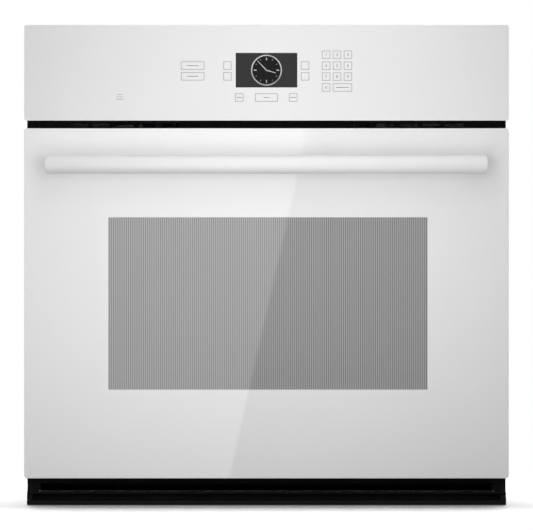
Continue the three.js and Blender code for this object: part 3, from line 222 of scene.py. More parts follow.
def black_paint():
    """Black powder coat: fine grain, greyer on worn edges."""
    n = Nodes("black_paint")
    grain = n.noise(1500, 3)
    cloud = n.shade(n.noise(14, 4), (0.006, 0.006, 0.0064), (0.009, 0.009, 0.0095))
    worn = n.math("MULTIPLY", n.edges(0.53, 0.68), n.between(n.noise(90, 5), 0, 0.2))
    n.set(Base_Color=n.mixed(worn, cloud, (0.035, 0.035, 0.036)))
    n.bump(grain, 0.05, 0.3)
    return n.set(Roughness=n.between(n.noise(45, 4), 0.4, 0.55), Specular_IOR_Level=0.08)


def galvanised_steel():
    """Zinc coated sheet: grey spangle, faint rolling marks, dull smudges."""
    n = Nodes("galvanised_steel")
    spangle = n.cells(95, output="Color")
    grey = n.add("SeparateColor", {0: spangle})
    tone = n.ramp(grey.outputs[0], (0.0, (0.50, 0.51, 0.52)), (1.0, (0.60, 0.61, 0.62)))
    stain = n.ramp(n.noise(5, 3), (0.35, (0.93, 0.93, 0.92)), (0.65, (1.0, 1.0, 1.0)))
    worn = n.math("MULTIPLY", n.edges(0.53, 0.62), 0.6)
    n.set(Base_Color=n.mixed(worn, n.mixed(1.0, tone, stain, "MULTIPLY"), (0.74, 0.75, 0.76)))
    n.set(Roughness=n.between(n.math("ADD", grey.outputs[1], n.noise(200, 3)), 0.3, 0.42, 0.2, 1.4))
    n.bump(n.noise(350, 3, place=n.stretched((1, 1, 0.08))), 0.02, 0.25)
    return n.set(Metallic=1.0)


def enamel():
    """Dark blue-grey porcelain enamel with pale flecks and a glassy skin."""
    n = Nodes("enamel")
    flecks = n.ramp(n.cells(620), (0.0, (0.30, 0.33, 0.37)), (0.17, (0.030, 0.036, 0.046)))
    bake = n.ramp(n.noise(5, 5), (0.4, (0.72, 0.66, 0.58)), (0.6, (1.0, 1.0, 1.0)))
    n.set(Base_Color=n.mixed(1.0, flecks, bake, "MULTIPLY"))
    n.bump(n.noise(140, 3), 0.06, 0.25)
    return n.set(Roughness=n.between(n.noise(30, 5), 0.14, 0.32), Coat_Weight=0.35, Coat_Roughness=0.08)


def stainless_steel():
    n = Nodes("stainless_steel")
    brush = n.noise(900, 3, place=n.stretched((0.06, 1, 1)))
    n.set(Base_Color=n.shade(n.noise(20, 4), (0.52, 0.525, 0.53), (0.62, 0.62, 0.62)))
    n.bump(brush, 0.02, 0.3)
    return n.set(Metallic=1.0, Roughness=n.between(brush, 0.24, 0.4), Anisotropic=0.4)


def chrome_wire():
    """Bright plated wire, straw coloured where the oven's heat has tinted it."""
    n = Nodes("chrome_wire")
    heat = n.noise(9, 4)
    n.set(Base_Color=n.ramp(heat, (0.38, (0.70, 0.70, 0.71)), (0.66, (0.66, 0.60, 0.50))))
    n.bump(n.noise(700, 3), 0.01, 0.2)
    return n.set(Metallic=1.0, Roughness=n.between(n.noise(120, 4), 0.09, 0.24))


def element_sheath():
    """Heating tube: oxidised nickel alloy, blotched brown and grey."""
    n = Nodes("element_sheath")
    blotches = ((0.3, (0.035, 0.033, 0.034)), (0.52, (0.075, 0.068, 0.062)), (0.7, (0.11, 0.095, 0.08)))
    n.set(Base_Color=n.ramp(n.noise(60, 6), *blotches))
    n.bump(n.noise(1200, 4), 0.06, 0.4)
    return n.set(Metallic=0.6, Roughness=n.between(n.noise(90, 4), 0.45, 0.68))


def glass_fibre():
    """Yellow-white mineral blanket, matted fibres."""
    n = Nodes("glass_fibre")
    fibres = n.noise(260, 8, 0.75, place=n.stretched((1, 0.35, 2.2)))
    tones = ((0.3, (0.42, 0.36, 0.20)), (0.5, (0.66, 0.60, 0.42)), (0.72, (0.80, 0.76, 0.62)))
    n.set(Base_Color=n.ramp(fibres, *tones))
    n.bump(fibres, 2.2, 0.8)
    return n.set(Roughness=n.between(n.noise(40, 3), 0.88, 0.98), Sheen_Weight=0.4, Sheen_Roughness=0.6)


def gasket_braid():
    """Woven fibreglass sleeve, graphite grey."""
    n = Nodes("gasket_braid")
    settings = {"Scale": 260, "Distortion": 0.6}
    first, second = (
        n.add("TexWave", {**settings, "Vector": n.stretched(way)}, bands_direction="DIAGONAL")
        for way in ((1, 1, 1), (-1, 1, 1))
    )
    weave = n.math("MULTIPLY", first.outputs["Fac"], second.outputs["Fac"])
    n.set(Base_Color=n.ramp(weave, (0.05, (0.030, 0.030, 0.032)), (0.8, (0.12, 0.12, 0.123))))
    n.bump(weave, 0.5, 0.8)
    return n.set(Roughness=n.between(n.noise(200, 3), 0.75, 0.92))


def circuit_board():
    """Green solder mask with paler copper runs."""
    n = Nodes("circuit_board")
    runs = n.add("TexBrick", {
        "Scale": 90, "Mortar Size": 0.03, "Vector": n.place,
        "Color1": (0.010, 0.085, 0.035), "Color2": (0.013, 0.11, 0.045), "Mortar": (0.05, 0.22, 0.10),
    })
    n.set(Base_Color=runs.outputs["Color"])
    n.bump(runs.outputs["Fac"], 0.04, 0.3)
    return n.set(Roughness=n.between(n.noise(120, 3), 0.28, 0.45), Coat_Weight=0.3, Coat_Roughness=0.2)


def even_finishes():
    """Plate glass, the window's painted shade, glass prints, lacquer, moulded plastic and zinc screws."""
    glass = (((9, 2), 0.005, 0.05), ((22, 5), 0.008, 0.022))
    ink = (((1400, 3), 0.005, 0.2), ((300, 3), 0.25, 0.4))
    plastic = (((900, 3), 0.04, 0.3), ((900, 3), 0.34, 0.48))
    return [
        even_finish("white_glass", ((6, 3), (0.835, 0.838, 0.836), (0.85, 0.852, 0.848)), *glass, IOR=1.5),
        # Painted shade: the window's clear glass is drawn opaque grey, standing for the dark enamel interior
        # seen in shade through it.
        even_finish("window_interior_painted_shade", ((5, 3), (0.205, 0.206, 0.203), (0.218, 0.219, 0.216)), *glass, IOR=1.5),
        even_finish("glass_frit", ((900, 3), (0.375, 0.376, 0.372), (0.41, 0.411, 0.407)),
                    ((900, 3), 0.01, 0.1), ((60, 4), 0.02, 0.05), IOR=1.5),
        even_finish("dial_glass", ((300, 3), (0.006, 0.006, 0.007), (0.010, 0.010, 0.011)),
                    ((300, 3), 0.01, 0.1), ((40, 4), 0.06, 0.12), Specular_IOR_Level=0.2),
        even_finish("grey_ink", ((1400, 3), 0.36, 0.42), *ink, Specular_IOR_Level=0.3),
        even_finish("dark_ink", ((1400, 3), 0.12, 0.17), *ink, Specular_IOR_Level=0.3),
        even_finish("white_paint", ((12, 3), (0.80, 0.803, 0.80), (0.82, 0.822, 0.818)),
                    ((520, 2), 0.03, 0.12), ((80, 4), 0.16, 0.26), IOR=1.5),
        even_finish("clear_glass", ((8, 3), (0.90, 0.93, 0.92), (0.95, 0.965, 0.96)),
                    ((12, 2), 0.02, 0.1), ((35, 5), 0.0, 0.05), IOR=1.5, Transmission_Weight=0.92),
        even_finish("black_plastic", ((25, 4), (0.012, 0.012, 0.013), (0.022, 0.022, 0.023)),
                    ((1100, 4), 0.08, 0.4), ((60, 3), 0.42, 0.6)),
        even_finish("zinc_screw", ((150, 4), (0.50, 0.50, 0.49), (0.66, 0.66, 0.65)),
                    ((1500, 3), 0.02, 0.3), ((300, 4), 0.26, 0.44), Metallic=1.0),
        even_finish("blue_plastic", ((30, 3), (0.02, 0.06, 0.22), (0.03, 0.08, 0.28)), *plastic),
        even_finish("red_plastic", ((30, 3), (0.35, 0.02, 0.015), (0.45, 0.03, 0.02)), *plastic),
        even_finish("ivory_plastic", ((30, 3), (0.62, 0.58, 0.48), (0.70, 0.66, 0.56)), *plastic),
    ]


FINISH = {
    made.name: made
    for made in (
        *even_finishes(), display_glass(), dial_silver(), black_paint(), galvanised_steel(), enamel(),
        stainless_steel(), chrome_wire(), element_sheath(), glass_fibre(), gasket_braid(), circuit_board(),
    )
}


# ---- shapes
def arc(centre, radii, start, sweep, steps):
    """Points along an arc or a part of an ellipse, in degrees from the first axis."""
    turns = (math.radians(start + sweep * i / steps) for i in range(steps + 1))
    return [(centre[0] + radii[0] * math.cos(a), centre[1] + radii[1] * math.sin(a)) for a in turns]


def circle(radius, count):
    return arc((0, 0), (radius, radius), 0, 360, count)[:-1]


class Shape:
    """Points and faces of one piece, in millimetres."""

    def __init__(self):
        self.points, self.faces, self.finishes = [], [], []

    def add(self, points, faces, finish=0):
        start = len(self.points)
        self.points += [Vector(p) for p in points]
        self.faces += [[start + i for i in face] for face in faces]
        self.finishes += [finish] * len(faces)
        return self

    def loft(self, rings, finish=0, closed=False):
        """Skins rings of points, and closes both ends unless the last ring meets the first."""
        n = len(rings[0])
        faces = []
        for r in range(len(rings) if closed else len(rings) - 1):
            a, b = r * n, (r + 1) % len(rings) * n
            faces += [(a + i, a + (i + 1) % n, b + (i + 1) % n, b + i) for i in range(n)]
        if not closed:
            last = (len(rings) - 1) * n
            faces += [list(range(n)), list(range(last, last + n))]
        return self.add([p for ring in rings for p in ring], faces, finish)

    def block(self, low, high, edge=0.0, finish=0):
        """A box with its upright and front edges eased by edge."""
        (x0, y0, z0), (x1, y1, z1) = low, high
        rings = []
        for inset, y in ((edge, y0), (0, y0 + edge), (0, y1 - edge), (edge, y1)):
            outline = rounded_rectangle(x0 + inset, x1 - inset, z0 + inset, z1 - inset, max(edge, 0.01), 2)
            rings.append([(x, y, z) for x, z in outline])
        return self.loft(rings, finish)

    def turned(self, profile, centre, axis="y", segments=40, finish=0, closed=False):
        """A lathe piece from (radius, place along the axis) pairs; closed is for a hollow one."""
        rings = []
        for radius, along in profile:
            ring = []
            for c, s in circle(radius, segments):
                place = {"x": (along, c, s), "y": (c, along, s), "z": (c, s, along)}[axis]
                ring.append(Vector(centre) + Vector(place))
            rings.append(ring)
        return self.loft(rings, finish, closed)

    def tube(self, path, radius, sides=12, closed=False, finish=0, flat=1.0):
        """A round tube along a path of points; flat squeezes it along Y."""
        path = [Vector(p) for p in path]
        count = len(path)
        rings = []
        normal = None
        for i, point in enumerate(path):
            before = path[i - 1] if closed or i else point
            after = path[(i + 1) % count] if closed or i < count - 1 else point
            along = (after - before).normalized()
            if normal is None:
                normal = along.orthogonal().normalized()
            normal = (normal - along * normal.dot(along)).normalized()
            across = along.cross(normal)
            ring = []
            for c, s in circle(radius, sides):
                offset = normal * c + across * s
                ring.append(point + Vector((offset.x, offset.y * flat, offset.z)))
            rings.append(ring)
        return self.loft(rings, finish, closed)

    def turn(self, matrix, start=0):
        self.points[start:] = [matrix @ p for p in self.points[start:]]


def make(name, shape, finishes, body, replaces=(), crease=35):
    """A piece from a shape, riding on a body; the CAD nodes it stands for are hidden."""
    finishes = [finishes] if isinstance(finishes, str) else finishes
    mesh = bpy.data.meshes.new(name)
    mesh.from_pydata([p * MM for p in shape.points], [], shape.faces)
    mesh.polygons.foreach_set("material_index", shape.finishes)
    work = bmesh.new()
    work.from_mesh(mesh)
    bmesh.ops.remove_doubles(work, verts=work.verts, dist=0.002 * MM)
    bmesh.ops.dissolve_degenerate(work, dist=0.001 * MM, edges=work.edges)
    bmesh.ops.recalc_face_normals(work, faces=work.faces)
    work.to_mesh(mesh)
    work.free()
    for finish in finishes:
        mesh.materials.append(FINISH[finish])
    mesh.shade_smooth()
    mesh.set_sharp_from_angle(angle=math.radians(crease))
    piece = placed(name, mesh)
    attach(piece, body)
    if replaces:
        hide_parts(*replaces)


def rounded_rectangle(x0, x1, z0, z1, radius, steps=6):
    """Points (x, z) round a rectangle with rounded corners."""
    turns = ((x1 - radius, z1 - radius, 0), (x0 + radius, z1 - radius, 90))
    turns += ((x0 + radius, z0 + radius, 180), (x1 - radius, z0 + radius, 270))
    outline = []
    for x, z, start in turns:
        outline += arc((x, z), (radius, radius), start, 90, steps)
    return outline


def bent(points, corner, steps=8):
    """A path through points with each corner rounded."""
    at = [Vector(p) for p in points]
    path = [at[0]]
    for before, here, after in zip(at, at[1:], at[2:]):
        back, on = before - here, after - here
        room = min(corner, back.length * 0.45, on.length * 0.45)
        start, end = here + back.normalized() * room, here + on.normalized() * room
        for i in range(steps + 1):
            t = i / steps
            path.append(start * (1 - t) ** 2 + here * 2 * t * (1 - t) + end * t**2)
    return path + [at[-1]]


# ---- glass fronts
EDGE = 0.9  # polished edge of the glass
CORNER = 4


def pane(name, node, body, finishes, light):
    """A front glass with polished edges, and a rectangle of it in the second finish."""
    low, high = corners(node)
    shape = Shape()
    rings = []
    quarter = EDGE * (1 - math.sqrt(0.5))
    back = ((EDGE / 2, high.y), (0, high.y - EDGE / 2))
    front = ((0, low.y + EDGE), (quarter, low.y + quarter), (EDGE, low.y))
    for inset, y in back + front:
        x0, x1, z0, z1 = low.x + inset, high.x - inset, low.z + inset, high.z - inset
        outline = rounded_rectangle(x0, x1, z0, z1, CORNER - inset)
        rings.append([Vector((x, y, z)) for x, z in outline])
    x0, x1, z0, z1 = light
    inner = [Vector((min(max(p.x, x0), x1), p.y, min(max(p.z, z0), z1))) for p in rings[-1]]
    n = len(inner)
    points = [p for ring in rings + [inner] for p in ring]
    faces = [list(range(n))]
    for r in range(len(rings)):
        a, b = r * n, (r + 1) * n
        faces += [(a + i, a + (i + 1) % n, b + (i + 1) % n, b + i) for i in range(n)]
    shape.add(points, faces)
    shape.add([(x0, low.y, z0), (x1, low.y, z0), (x1, low.y, z1), (x0, low.y, z1)], [(0, 1, 2, 3)], 1)
    make(name, shape, finishes, body, [node], crease=20)


WINDOW = {"half": 248.7, "shift": 2.2, "low": 138.7, "high": 407.3}  # heights above the door's lower edge
LINE_PITCH = 3.32
LINE_SHARE = 0.5
LINE_MARGIN = 0.3  # clear glass between the lines' ends and the window's edge
PRINT = 0.05  # printed coats stand this far from the glass
SCREEN = {"width": 96.1, "height": 54.0, "rise": 78.7}


def door_front():
    low = corners("door_outer_glass")[0]
    foot, head = low.z + WINDOW["low"], low.z + WINDOW["high"]
    half, shift = WINDOW["half"], WINDOW["shift"]
    clear = (shift - half, shift + half, foot, head)
    # The window rectangle gets painted shade: opaque grey for the dark, unlit oven interior behind the clear
    # glass.
    pane("door_glass_pane", "door_outer_glass", "door", ["white_glass", "window_interior_painted_shade"], clear)
    lines = Shape()
    count = int(2 * half / LINE_PITCH)
    for i in range(count):
        x = shift + (i + 0.5 - count / 2) * LINE_PITCH
        wide = LINE_PITCH * LINE_SHARE / 2
        lines.block((x - wide, low.y - PRINT, foot + LINE_MARGIN),
                    (x + wide, low.y + PRINT, head - LINE_MARGIN))
    make("door_window_lines", lines, "glass_frit", "door")


def control_front():
    low = corners("control_panel_glass")[0]
    centre = low.z + SCREEN["rise"]
    wide, tall = SCREEN["width"] / 2, SCREEN["height"] / 2
    light = (-wide, wide, centre - tall, centre + tall)
    pane("control_glass_pane", "control_panel_glass", "oven_body", ["white_glass", "display_glass"], light)
    key_prints(low)
    clock(low.y, centre)


KEY = 13.0  # side of a square key
KEY_LINE = 1.0
KEYPAD = {"columns": (93.0, 110.0, 127.0), "rises": (102.7, 85.5, 68.6), "last": 51.7, "word": 20}
LOWER_KEYS = {"rise": 36.1, "keys": ((-42.4, KEY, 8), (0.0, 35.4, 9), (41.7, KEY, 9))}  # middle, width, word
SIDE_KEYS = {"rises": (85.8, 69.1), "small": (-60.9, 60.1), "wide": (-115.2, 36.7, 18)}
SMALL_MARK = {"x": -229, "rise": 33, "pitch": 3.8, "widths": (11, 11, 8)}
INK_WIDTH = 0.9  # of the dashes that stand for words


def key_outline(shape, x, z, width, y):
    """A thin printed rectangle round a touch key."""
    rings = []
    for grow, depth in ((0, PRINT), (0, -PRINT), (-KEY_LINE, -PRINT), (-KEY_LINE, PRINT)):
        wide, tall = width / 2 + grow, KEY / 2 + grow
        outline = rounded_rectangle(x - wide, x + wide, z - tall, z + tall, 0.8, 2)
        rings.append([(px, y + depth, pz) for px, pz in outline])
    shape.loft(rings, closed=True)


def key_prints(low):
    """Keypad on the right, screen keys beside the display, wide keys on the left and below."""
    outlines, faint, marks = Shape(), Shape(), Shape()

    def key(x, rise, width=KEY, word=0, shape=outlines):
        key_outline(shape, x, low.z + rise, width, low.y)
        if word:
            bar(marks, x, low.z + rise, word, low.y)

    columns, last = KEYPAD["columns"], KEYPAD["last"]
    for row, rise in enumerate(KEYPAD["rises"]):
        for column, x in enumerate(columns):
            key(x, rise)
            numeral(marks, str(3 * row + column + 1), x, low.z + rise, low.y)
    key(columns[0], last)
    numeral(marks, "0", columns[0], low.z + last, low.y)
    key((columns[1] + columns[2]) / 2, last, columns[2] - columns[1] + KEY, KEYPAD["word"])
    for x, width, word in LOWER_KEYS["keys"]:
        key(x, LOWER_KEYS["rise"], width, word)
    for rise in SIDE_KEYS["rises"]:
        for x in SIDE_KEYS["small"]:
            key(x, rise, shape=faint)
        x, width, word = SIDE_KEYS["wide"]
        key(x, rise, width, word)
    for k, width in enumerate(SMALL_MARK["widths"]):
        bar(faint, SMALL_MARK["x"], low.z + SMALL_MARK["rise"] + SMALL_MARK["pitch"] * k, width, low.y)
    make("key_outlines", outlines, "grey_ink", "oven_body")
    make("key_outlines_faint", faint, "grey_ink", "oven_body")
    make("key_marks", marks, "dark_ink", "oven_body", crease=180)


def bar(shape, x, z, width, y):
    """A short printed dash that stands for a key's wording."""
    half = INK_WIDTH / 2
    shape.block((x - width / 2, y - PRINT, z - half), (x + width / 2, y + PRINT, z + half))


def numeral(shape, text, x, z, y, size=6.2):
    """A digit drawn on the glass, facing the front."""
    curve = bpy.data.curves.new("numeral", "FONT")
    curve.body = text
    curve.size = size
    curve.extrude = PRINT
    curve.align_x = "CENTER"
    curve.align_y = "CENTER"
    holder = placed("numeral", curve)
    bpy.context.view_layer.update()
    drawn = holder.evaluated_get(bpy.context.evaluated_depsgraph_get()).to_mesh()
    points = [(x + v.co.x, y - v.co.z, z + v.co.y) for v in drawn.vertices]
    shape.add(points, [list(p.vertices) for p in drawn.polygons])
    bpy.data.objects.remove(holder)


DIAL = {"radius": 24.1, "ring": 1.9, "steps": 72, "ring_edge": 0.7, "ring_tall": 0.25}
HOUR_MARKS = {"end": 19.6, "main": (4.2, 1.5), "other": (2.2, 0.5)}  # length, width
HANDS = ((-44, 21, 1.5, 0.7), (107, 15, 1.8, 0.9))  # degrees from 12, reach, width, width at the tip
HAND_TAIL = -2


def clock(y, centre):
    """Analogue clock shown on the screen."""
    radius, steps = DIAL["radius"], DIAL["steps"]
    dial, ring, marks = Shape(), Shape(), Shape()
    disc = [(0.01, y), (radius, y), (radius, y - PRINT), (0.01, y - PRINT)]
    dial.turned(disc, (0, 0, centre), segments=steps)
    inner, edge = radius - DIAL["ring"], DIAL["ring_edge"]
    base, crown = y - PRINT, y - PRINT - DIAL["ring_tall"]
    profile = ((radius, base), (radius - edge, crown), (inner + edge, crown), (inner, base))
    ring.turned(profile, (0, 0, centre), segments=steps, closed=True)
    end = HOUR_MARKS["end"]
    for hour in range(12):
        length, wide = HOUR_MARKS["other" if hour % 3 else "main"]
        hand(marks, y, centre, math.radians(30 * hour), end - length, end, wide, wide)
    for degrees, reach, wide, tip in HANDS:
        hand(marks, y, centre, math.radians(degrees), HAND_TAIL, reach, wide, tip)
    make("clock_dial", dial, "dial_glass", "oven_body")
    make("clock_ring", ring, "dial_silver", "oven_body")
    make("clock_marks", marks, "dial_silver", "oven_body")


def hand(shape, y, centre, angle, start, end, wide, tip):
    """A tapered bar pointing from the dial's centre, at an angle clockwise from 12."""
    ring = []
    for along, half in ((start, -wide / 2), (start, wide / 2), (end, tip / 2), (end, -tip / 2)):
        x = half * math.cos(angle) + along * math.sin(angle)
        z = along * math.cos(angle) - half * math.sin(angle)
        ring.append(Vector((x, y, centre + z)))
    shape.loft([[p + Vector((0, d, 0)) for p in ring] for d in (-0.08, -0.22)])


# ---- handle
END_BOW = 3.1  # the bar's ends bow outwards
FRONT_BOW = 11
BACK_CORNER = 4
END_SOFTNESS = 1.6


def handle_section(low, high, inset):
    """Points (y, z) round the bar: crowned front, rounded back corners."""
    tall, centre = (high.z - low.z) / 2, (low.z + high.z) / 2
    back, level, radius = high.y - BACK_CORNER, tall - BACK_CORNER, BACK_CORNER - inset
    section = arc((back, level), (radius, radius), 0, 90, 8)
    section += arc((low.y + FRONT_BOW, 0), (FRONT_BOW - inset, tall - inset), 90, 180, 28)
    section += arc((back, -level), (radius, radius), -90, 90, 8)
    return [(y, z, centre + z) for y, z in section], tall


def handle():
    low, high = corners("handle_bar")
    shape = Shape()
    rings = []
    for k in range(6, -1, -1):
        a = math.radians(15 * k)
        inset, back = END_SOFTNESS * (1 - math.cos(a)), END_SOFTNESS * (1 - math.sin(a))
        section, tall = handle_section(low, high, inset)
        rings.append([(low.x + back + END_BOW * (z / tall) ** 2, y, at) for y, z, at in section])
    for ring in rings[::-1]:
        rings.append([(-x, y, z) for x, y, z in ring])
    shape.loft(rings)
    make("handle_bar_body", shape, "white_paint", "door", ["handle_bar"], crease=40)
    for name, _ in SIDES:
        handle_post(name)


def handle_post(name):
    """A turned standoff: flared foot on the glass, waist, and a collar under the bar."""
    node = "handle_post_" + name
    centre = middle(node)
    foot, head = FACE_Y - 0.1, corners(node)[0].y
    length = foot - head
    profile = [(0.01, head), (9.0, head), (9.5, head + 0.5), (9.5, head + 2), (8.6, head + 4)]
    for i in range(9):
        t = i / 8
        profile.append((8.5 + 3.5 * t**3, head + 6 + (length - 8) * t))
    profile += [(12.0, foot - 1.0), (11.6, foot - 0.3), (11.2, foot), (0.01, foot)]
    shape = Shape().turned(profile, (centre.x, 0, centre.z), segments=48)
    make("handle_standoff_" + name, shape, "white_paint", "door", [node])


# ---- softened CAD pieces
def pair(name):
    return [name + "_" + side for side, _ in SIDES]


CAD_FINISH = {  # how far the edges are eased, and the nodes
    "black_paint": (0.5, ["front_frame", *pair("side_trim"), "lower_vent_trim", "door_frame",
                          "control_panel_housing"]),
    "galvanised_steel": (0.3, ["base_pan", *pair("base_runner"), "left_side_panel", "right_side_panel",
                               "top_cover", "rear_cover", "bay_floor", "blower_housing", "junction_box",
                               "latch_bracket", *pair("hinge_receiver"), *pair("hinge_channel"),
                               "fan_motor"]),
    "enamel": (0.5, ["oven_cavity", "fan_cover", "door_inner_panel"]),
    "stainless_steel": (0.25, [*pair("hinge_arm"), *pair("hinge_rod"), "latch_hook", "convection_fan",
                               "blower_wheel", "temperature_sensor"]),
    "glass_fibre": (2.0, ["cavity_insulation", "door_insulation"]),
    "black_plastic": (0.4, ["display_module", "door_switch_body", "door_switch_plunger", "latch_motor",
                            "blower_motor"]),
    "circuit_board": (0.15, ["touch_board"]),
    "clear_glass": (0.6, ["door_middle_glass", "door_inner_glass"]),
}
WELD_REACH = 0.01
FLAT_ANGLE = 0.5  # degrees up to which faces count as one flat
SHARP_ANGLE = 40  # degrees from which an edge is eased


def soften(node, finish, easing):
    """A CAD node in its finish, with its sharp edges eased."""
    piece = frame["nodes"][node]
    piece.data.materials.clear()
    piece.data.materials.append(FINISH[finish])
    weld = piece.modifiers.new("weld", "WELD")
    weld.merge_threshold = WELD_REACH * MM
    merge = piece.modifiers.new("merge", "DECIMATE")
    merge.decimate_type = "DISSOLVE"
    merge.angle_limit = math.radians(FLAT_ANGLE)
    ease = piece.modifiers.new("ease", "BEVEL")
    ease.width = easing * MM
    ease.segments = 2
    ease.limit_method = "ANGLE"
    ease.angle_limit = math.radians(SHARP_ANGLE)
    even = piece.modifiers.new("even", "WEIGHTED_NORMAL")
    even.weight = 100


def soften_all():
    for finish, (easing, nodes) in CAD_FINISH.items():
        for node in nodes:
            soften(node, finish, easing)


# ---- racks
RACK_WIRES = 17
RACK_CROSS_WIRES = (0.04, 0.34, 0.67, 0.965)  # shares of the depth


def rack(name):
    """A wire rack: a bent rim with a raised rear rail, cross wires under lengthwise wires."""
    node = "rack_" + name
    low, high = corners(node)
    rim, wire = 2.9, 1.6
    level = low.z + 2 * rim
    x, front, back = high.x - rim, low.y + rim, high.y - rim
    shape = Shape()
    base, bend, top = level - rim, back - 30, high.z - rim
    loop = [(x, bend, base), (x, front, base), (-x, front, base), (-x, bend, base)]
    rise = [(-x, back, base), (-x, back, top), (x, back, top), (x, back, base)]
    path = bent(loop + rise + loop[:1], 12)
    shape.tube(path[:-1], rim, 14, closed=True)
    for share in RACK_CROSS_WIRES:
        y = front + (back - front) * share
        shape.tube([(-x, y, level - rim - 0.6), (x, y, level - rim - 0.6)], 2.2, 10)
    top = level - wire - 0.3
    for i in range(RACK_WIRES):
        at = -x + (i + 1) * 2 * x / (RACK_WIRES + 1)
        start, end = (at, front + 0.4, top - 1.2), (at, back - 0.4, top + 1.5)
        shape.tube(bent([start, (at, front + 6, top), (at, back - 6, top), end], 3, 3), wire, 8)
    make("rack_wires_" + name, shape, "chrome_wire", node, [node], crease=60)


# ---- heating elements
TUBE = 3.25
LEG = 40
LOOP_GAP = 168  # from the rear cover to the loops' back ends
LOOP_LENGTH_CUT = 60  # the inner loops end this much farther forward


def serpentine(node, loops, tail):
    """Path of a flat heating tube that fills its CAD box in loops, with both ends through the back wall."""
    low, high = corners(node)
    half, z = high.x - TUBE, middle(node).z
    front, back, inner = low.y + TUBE, tail, tail - LOOP_LENGTH_CUT
    end = high.y
    pitch = (half - LEG) / loops
    points = [(-LEG, end, z), (-LEG, back, z), (-half, back, z), (-half, front, z)]
    for i in range(loops):
        x = -half + pitch * (i + 0.5)
        points += [(x, front, z), (x, inner, z), (x + pitch / 2, inner, z), (x + pitch / 2, front, z)]
    return bent(points + [(-x, y, z) for x, y, z in reversed(points)], 18, 8)


def elements():
    wall = corners("fan_cover")[1].y
    back = corners("rear_cover")[1].y - LOOP_GAP
    for node, loops, sign in (("broil_element", 2, 1), ("bake_element", 1, -1)):
        shape = Shape().tube(serpentine(node, loops, back), TUBE, 14)
        z = middle(node).z
        low, high = corners(node)
        if sign > 0:
            shape.block((-62, wall - 2.6, z - 12), (62, wall - 1.0, z + 12), 0.5, 1)
            for x in (-52, 52):
                screw_head(shape, (x, wall - 2.6, z), "y", -1, 3.2, 1)
            for x in (-0.62, 0, 0.62):
                hanger(shape, x * high.x, (low.y + back) / 2, z)
        finishes = ["element_sheath", "stainless_steel"]
        make(node + "_tube", shape, finishes, "oven_body", [node], crease=60)
    node = "convection_element"
    ring = corners(node)
    centre = middle("fan_cover")
    radius, y = ring[1].x - TUBE, ring[0].y + TUBE
    gap = math.asin(12 / radius)
    turns = 2 * math.degrees(gap) - 360
    circuit = arc((0, centre.z), (radius, radius), -90 - math.degrees(gap), turns, 60)
    path = [Vector((x, y, z)) for x, z in circuit]
    ends = [Vector((p.x, ring[1].y, p.z)) for p in (path[0], path[-1])]
    path = [ends[0], path[0] + Vector((0, 8, 0)), path[0] + Vector((0, 3, 0.5))] + path[1:-1] + [
        path[-1] + Vector((0, 3, 0.5)), path[-1] + Vector((0, 8, 0)), ends[1]]
    shape = Shape().tube(path, TUBE, 14)
    make(node + "_tube", shape, "element_sheath", "oven_body", [node], crease=60)


def hanger(shape, x, y, z):
    """A wire loop that carries the broil element from the cavity's ceiling."""
    ceiling = corners("oven_cavity")[1].z - 1.6
    path = [(x - 9, y, ceiling), (x - 9, y, z - 5.2), (x + 9, y, z - 5.2), (x + 9, y, ceiling)]
    shape.tube(bent(path, 6, 5), 1.2, 8, finish=1)


def screw_head(shape, at, axis, way, radius, finish=0):
    """A pan head with a cross recess, facing along axis by way."""
    x, y, z = at
    start = len(shape.points)
    tall = radius * 0.55
    dome = [(radius * math.cos(a), tall * math.sin(a)) for a in (math.radians(d) for d in (0, 15, 35, 55))]
    socket = [(radius * 0.42, tall * 0.93), (radius * 0.40, tall * 0.45), (0.01, tall * 0.35)]
    shape.turned([(0.01, -0.3), (radius, -0.3)] + dome + socket, (0, 0, 0), "z", 20, finish)
    for k in range(2):
        wide, long = (0.12, 0.62) if k else (0.62, 0.12)
        half = Vector((radius * wide, radius * long, 0))
        shape.block((-half.x, -half.y, tall * 0.4), (half.x, half.y, tall * 0.62), 0.05, finish)
    facing = {"x": (way, 0, 0), "y": (0, way, 0), "z": (0, 0, way)}[axis]
    turn = Vector((0, 0, 1)).rotation_difference(Vector(facing)).to_matrix().to_4x4()
    shape.turn(Matrix.Translation((x, y, z)) @ turn, start)


# ---- gasket and small fittings
def gasket():
    """Braided seal round the cavity mouth, held by small clips."""
    low, high = corners("door_gasket")
    half = (high.y - low.y) / 2
    at = 4.5
    outline = rounded_rectangle(low.x + at, high.x - at, low.z + at, high.z - at, 32, 14)
    y = (low.y + high.y) / 2
    shape = Shape().tube([(x, y, z) for x, z in outline], at, 16, closed=True, flat=half / at)
    make("gasket_rope", shape, "gasket_braid", "oven_body", ["door_gasket"], crease=80)
    clips = Shape()
    for x, z in ((-0.5, 0), (0, 0), (0.5, 0), (-0.5, 1), (0, 1), (0.5, 1)):
        x, z = x * (high.x - low.x), high.z - at if z else low.z + at
        clips.block((x - 3, high.y + 0.02, z - 4), (x + 3, high.y + 0.28, z + 4), 0.1)
    make("gasket_clips", clips, "stainless_steel", "oven_body")


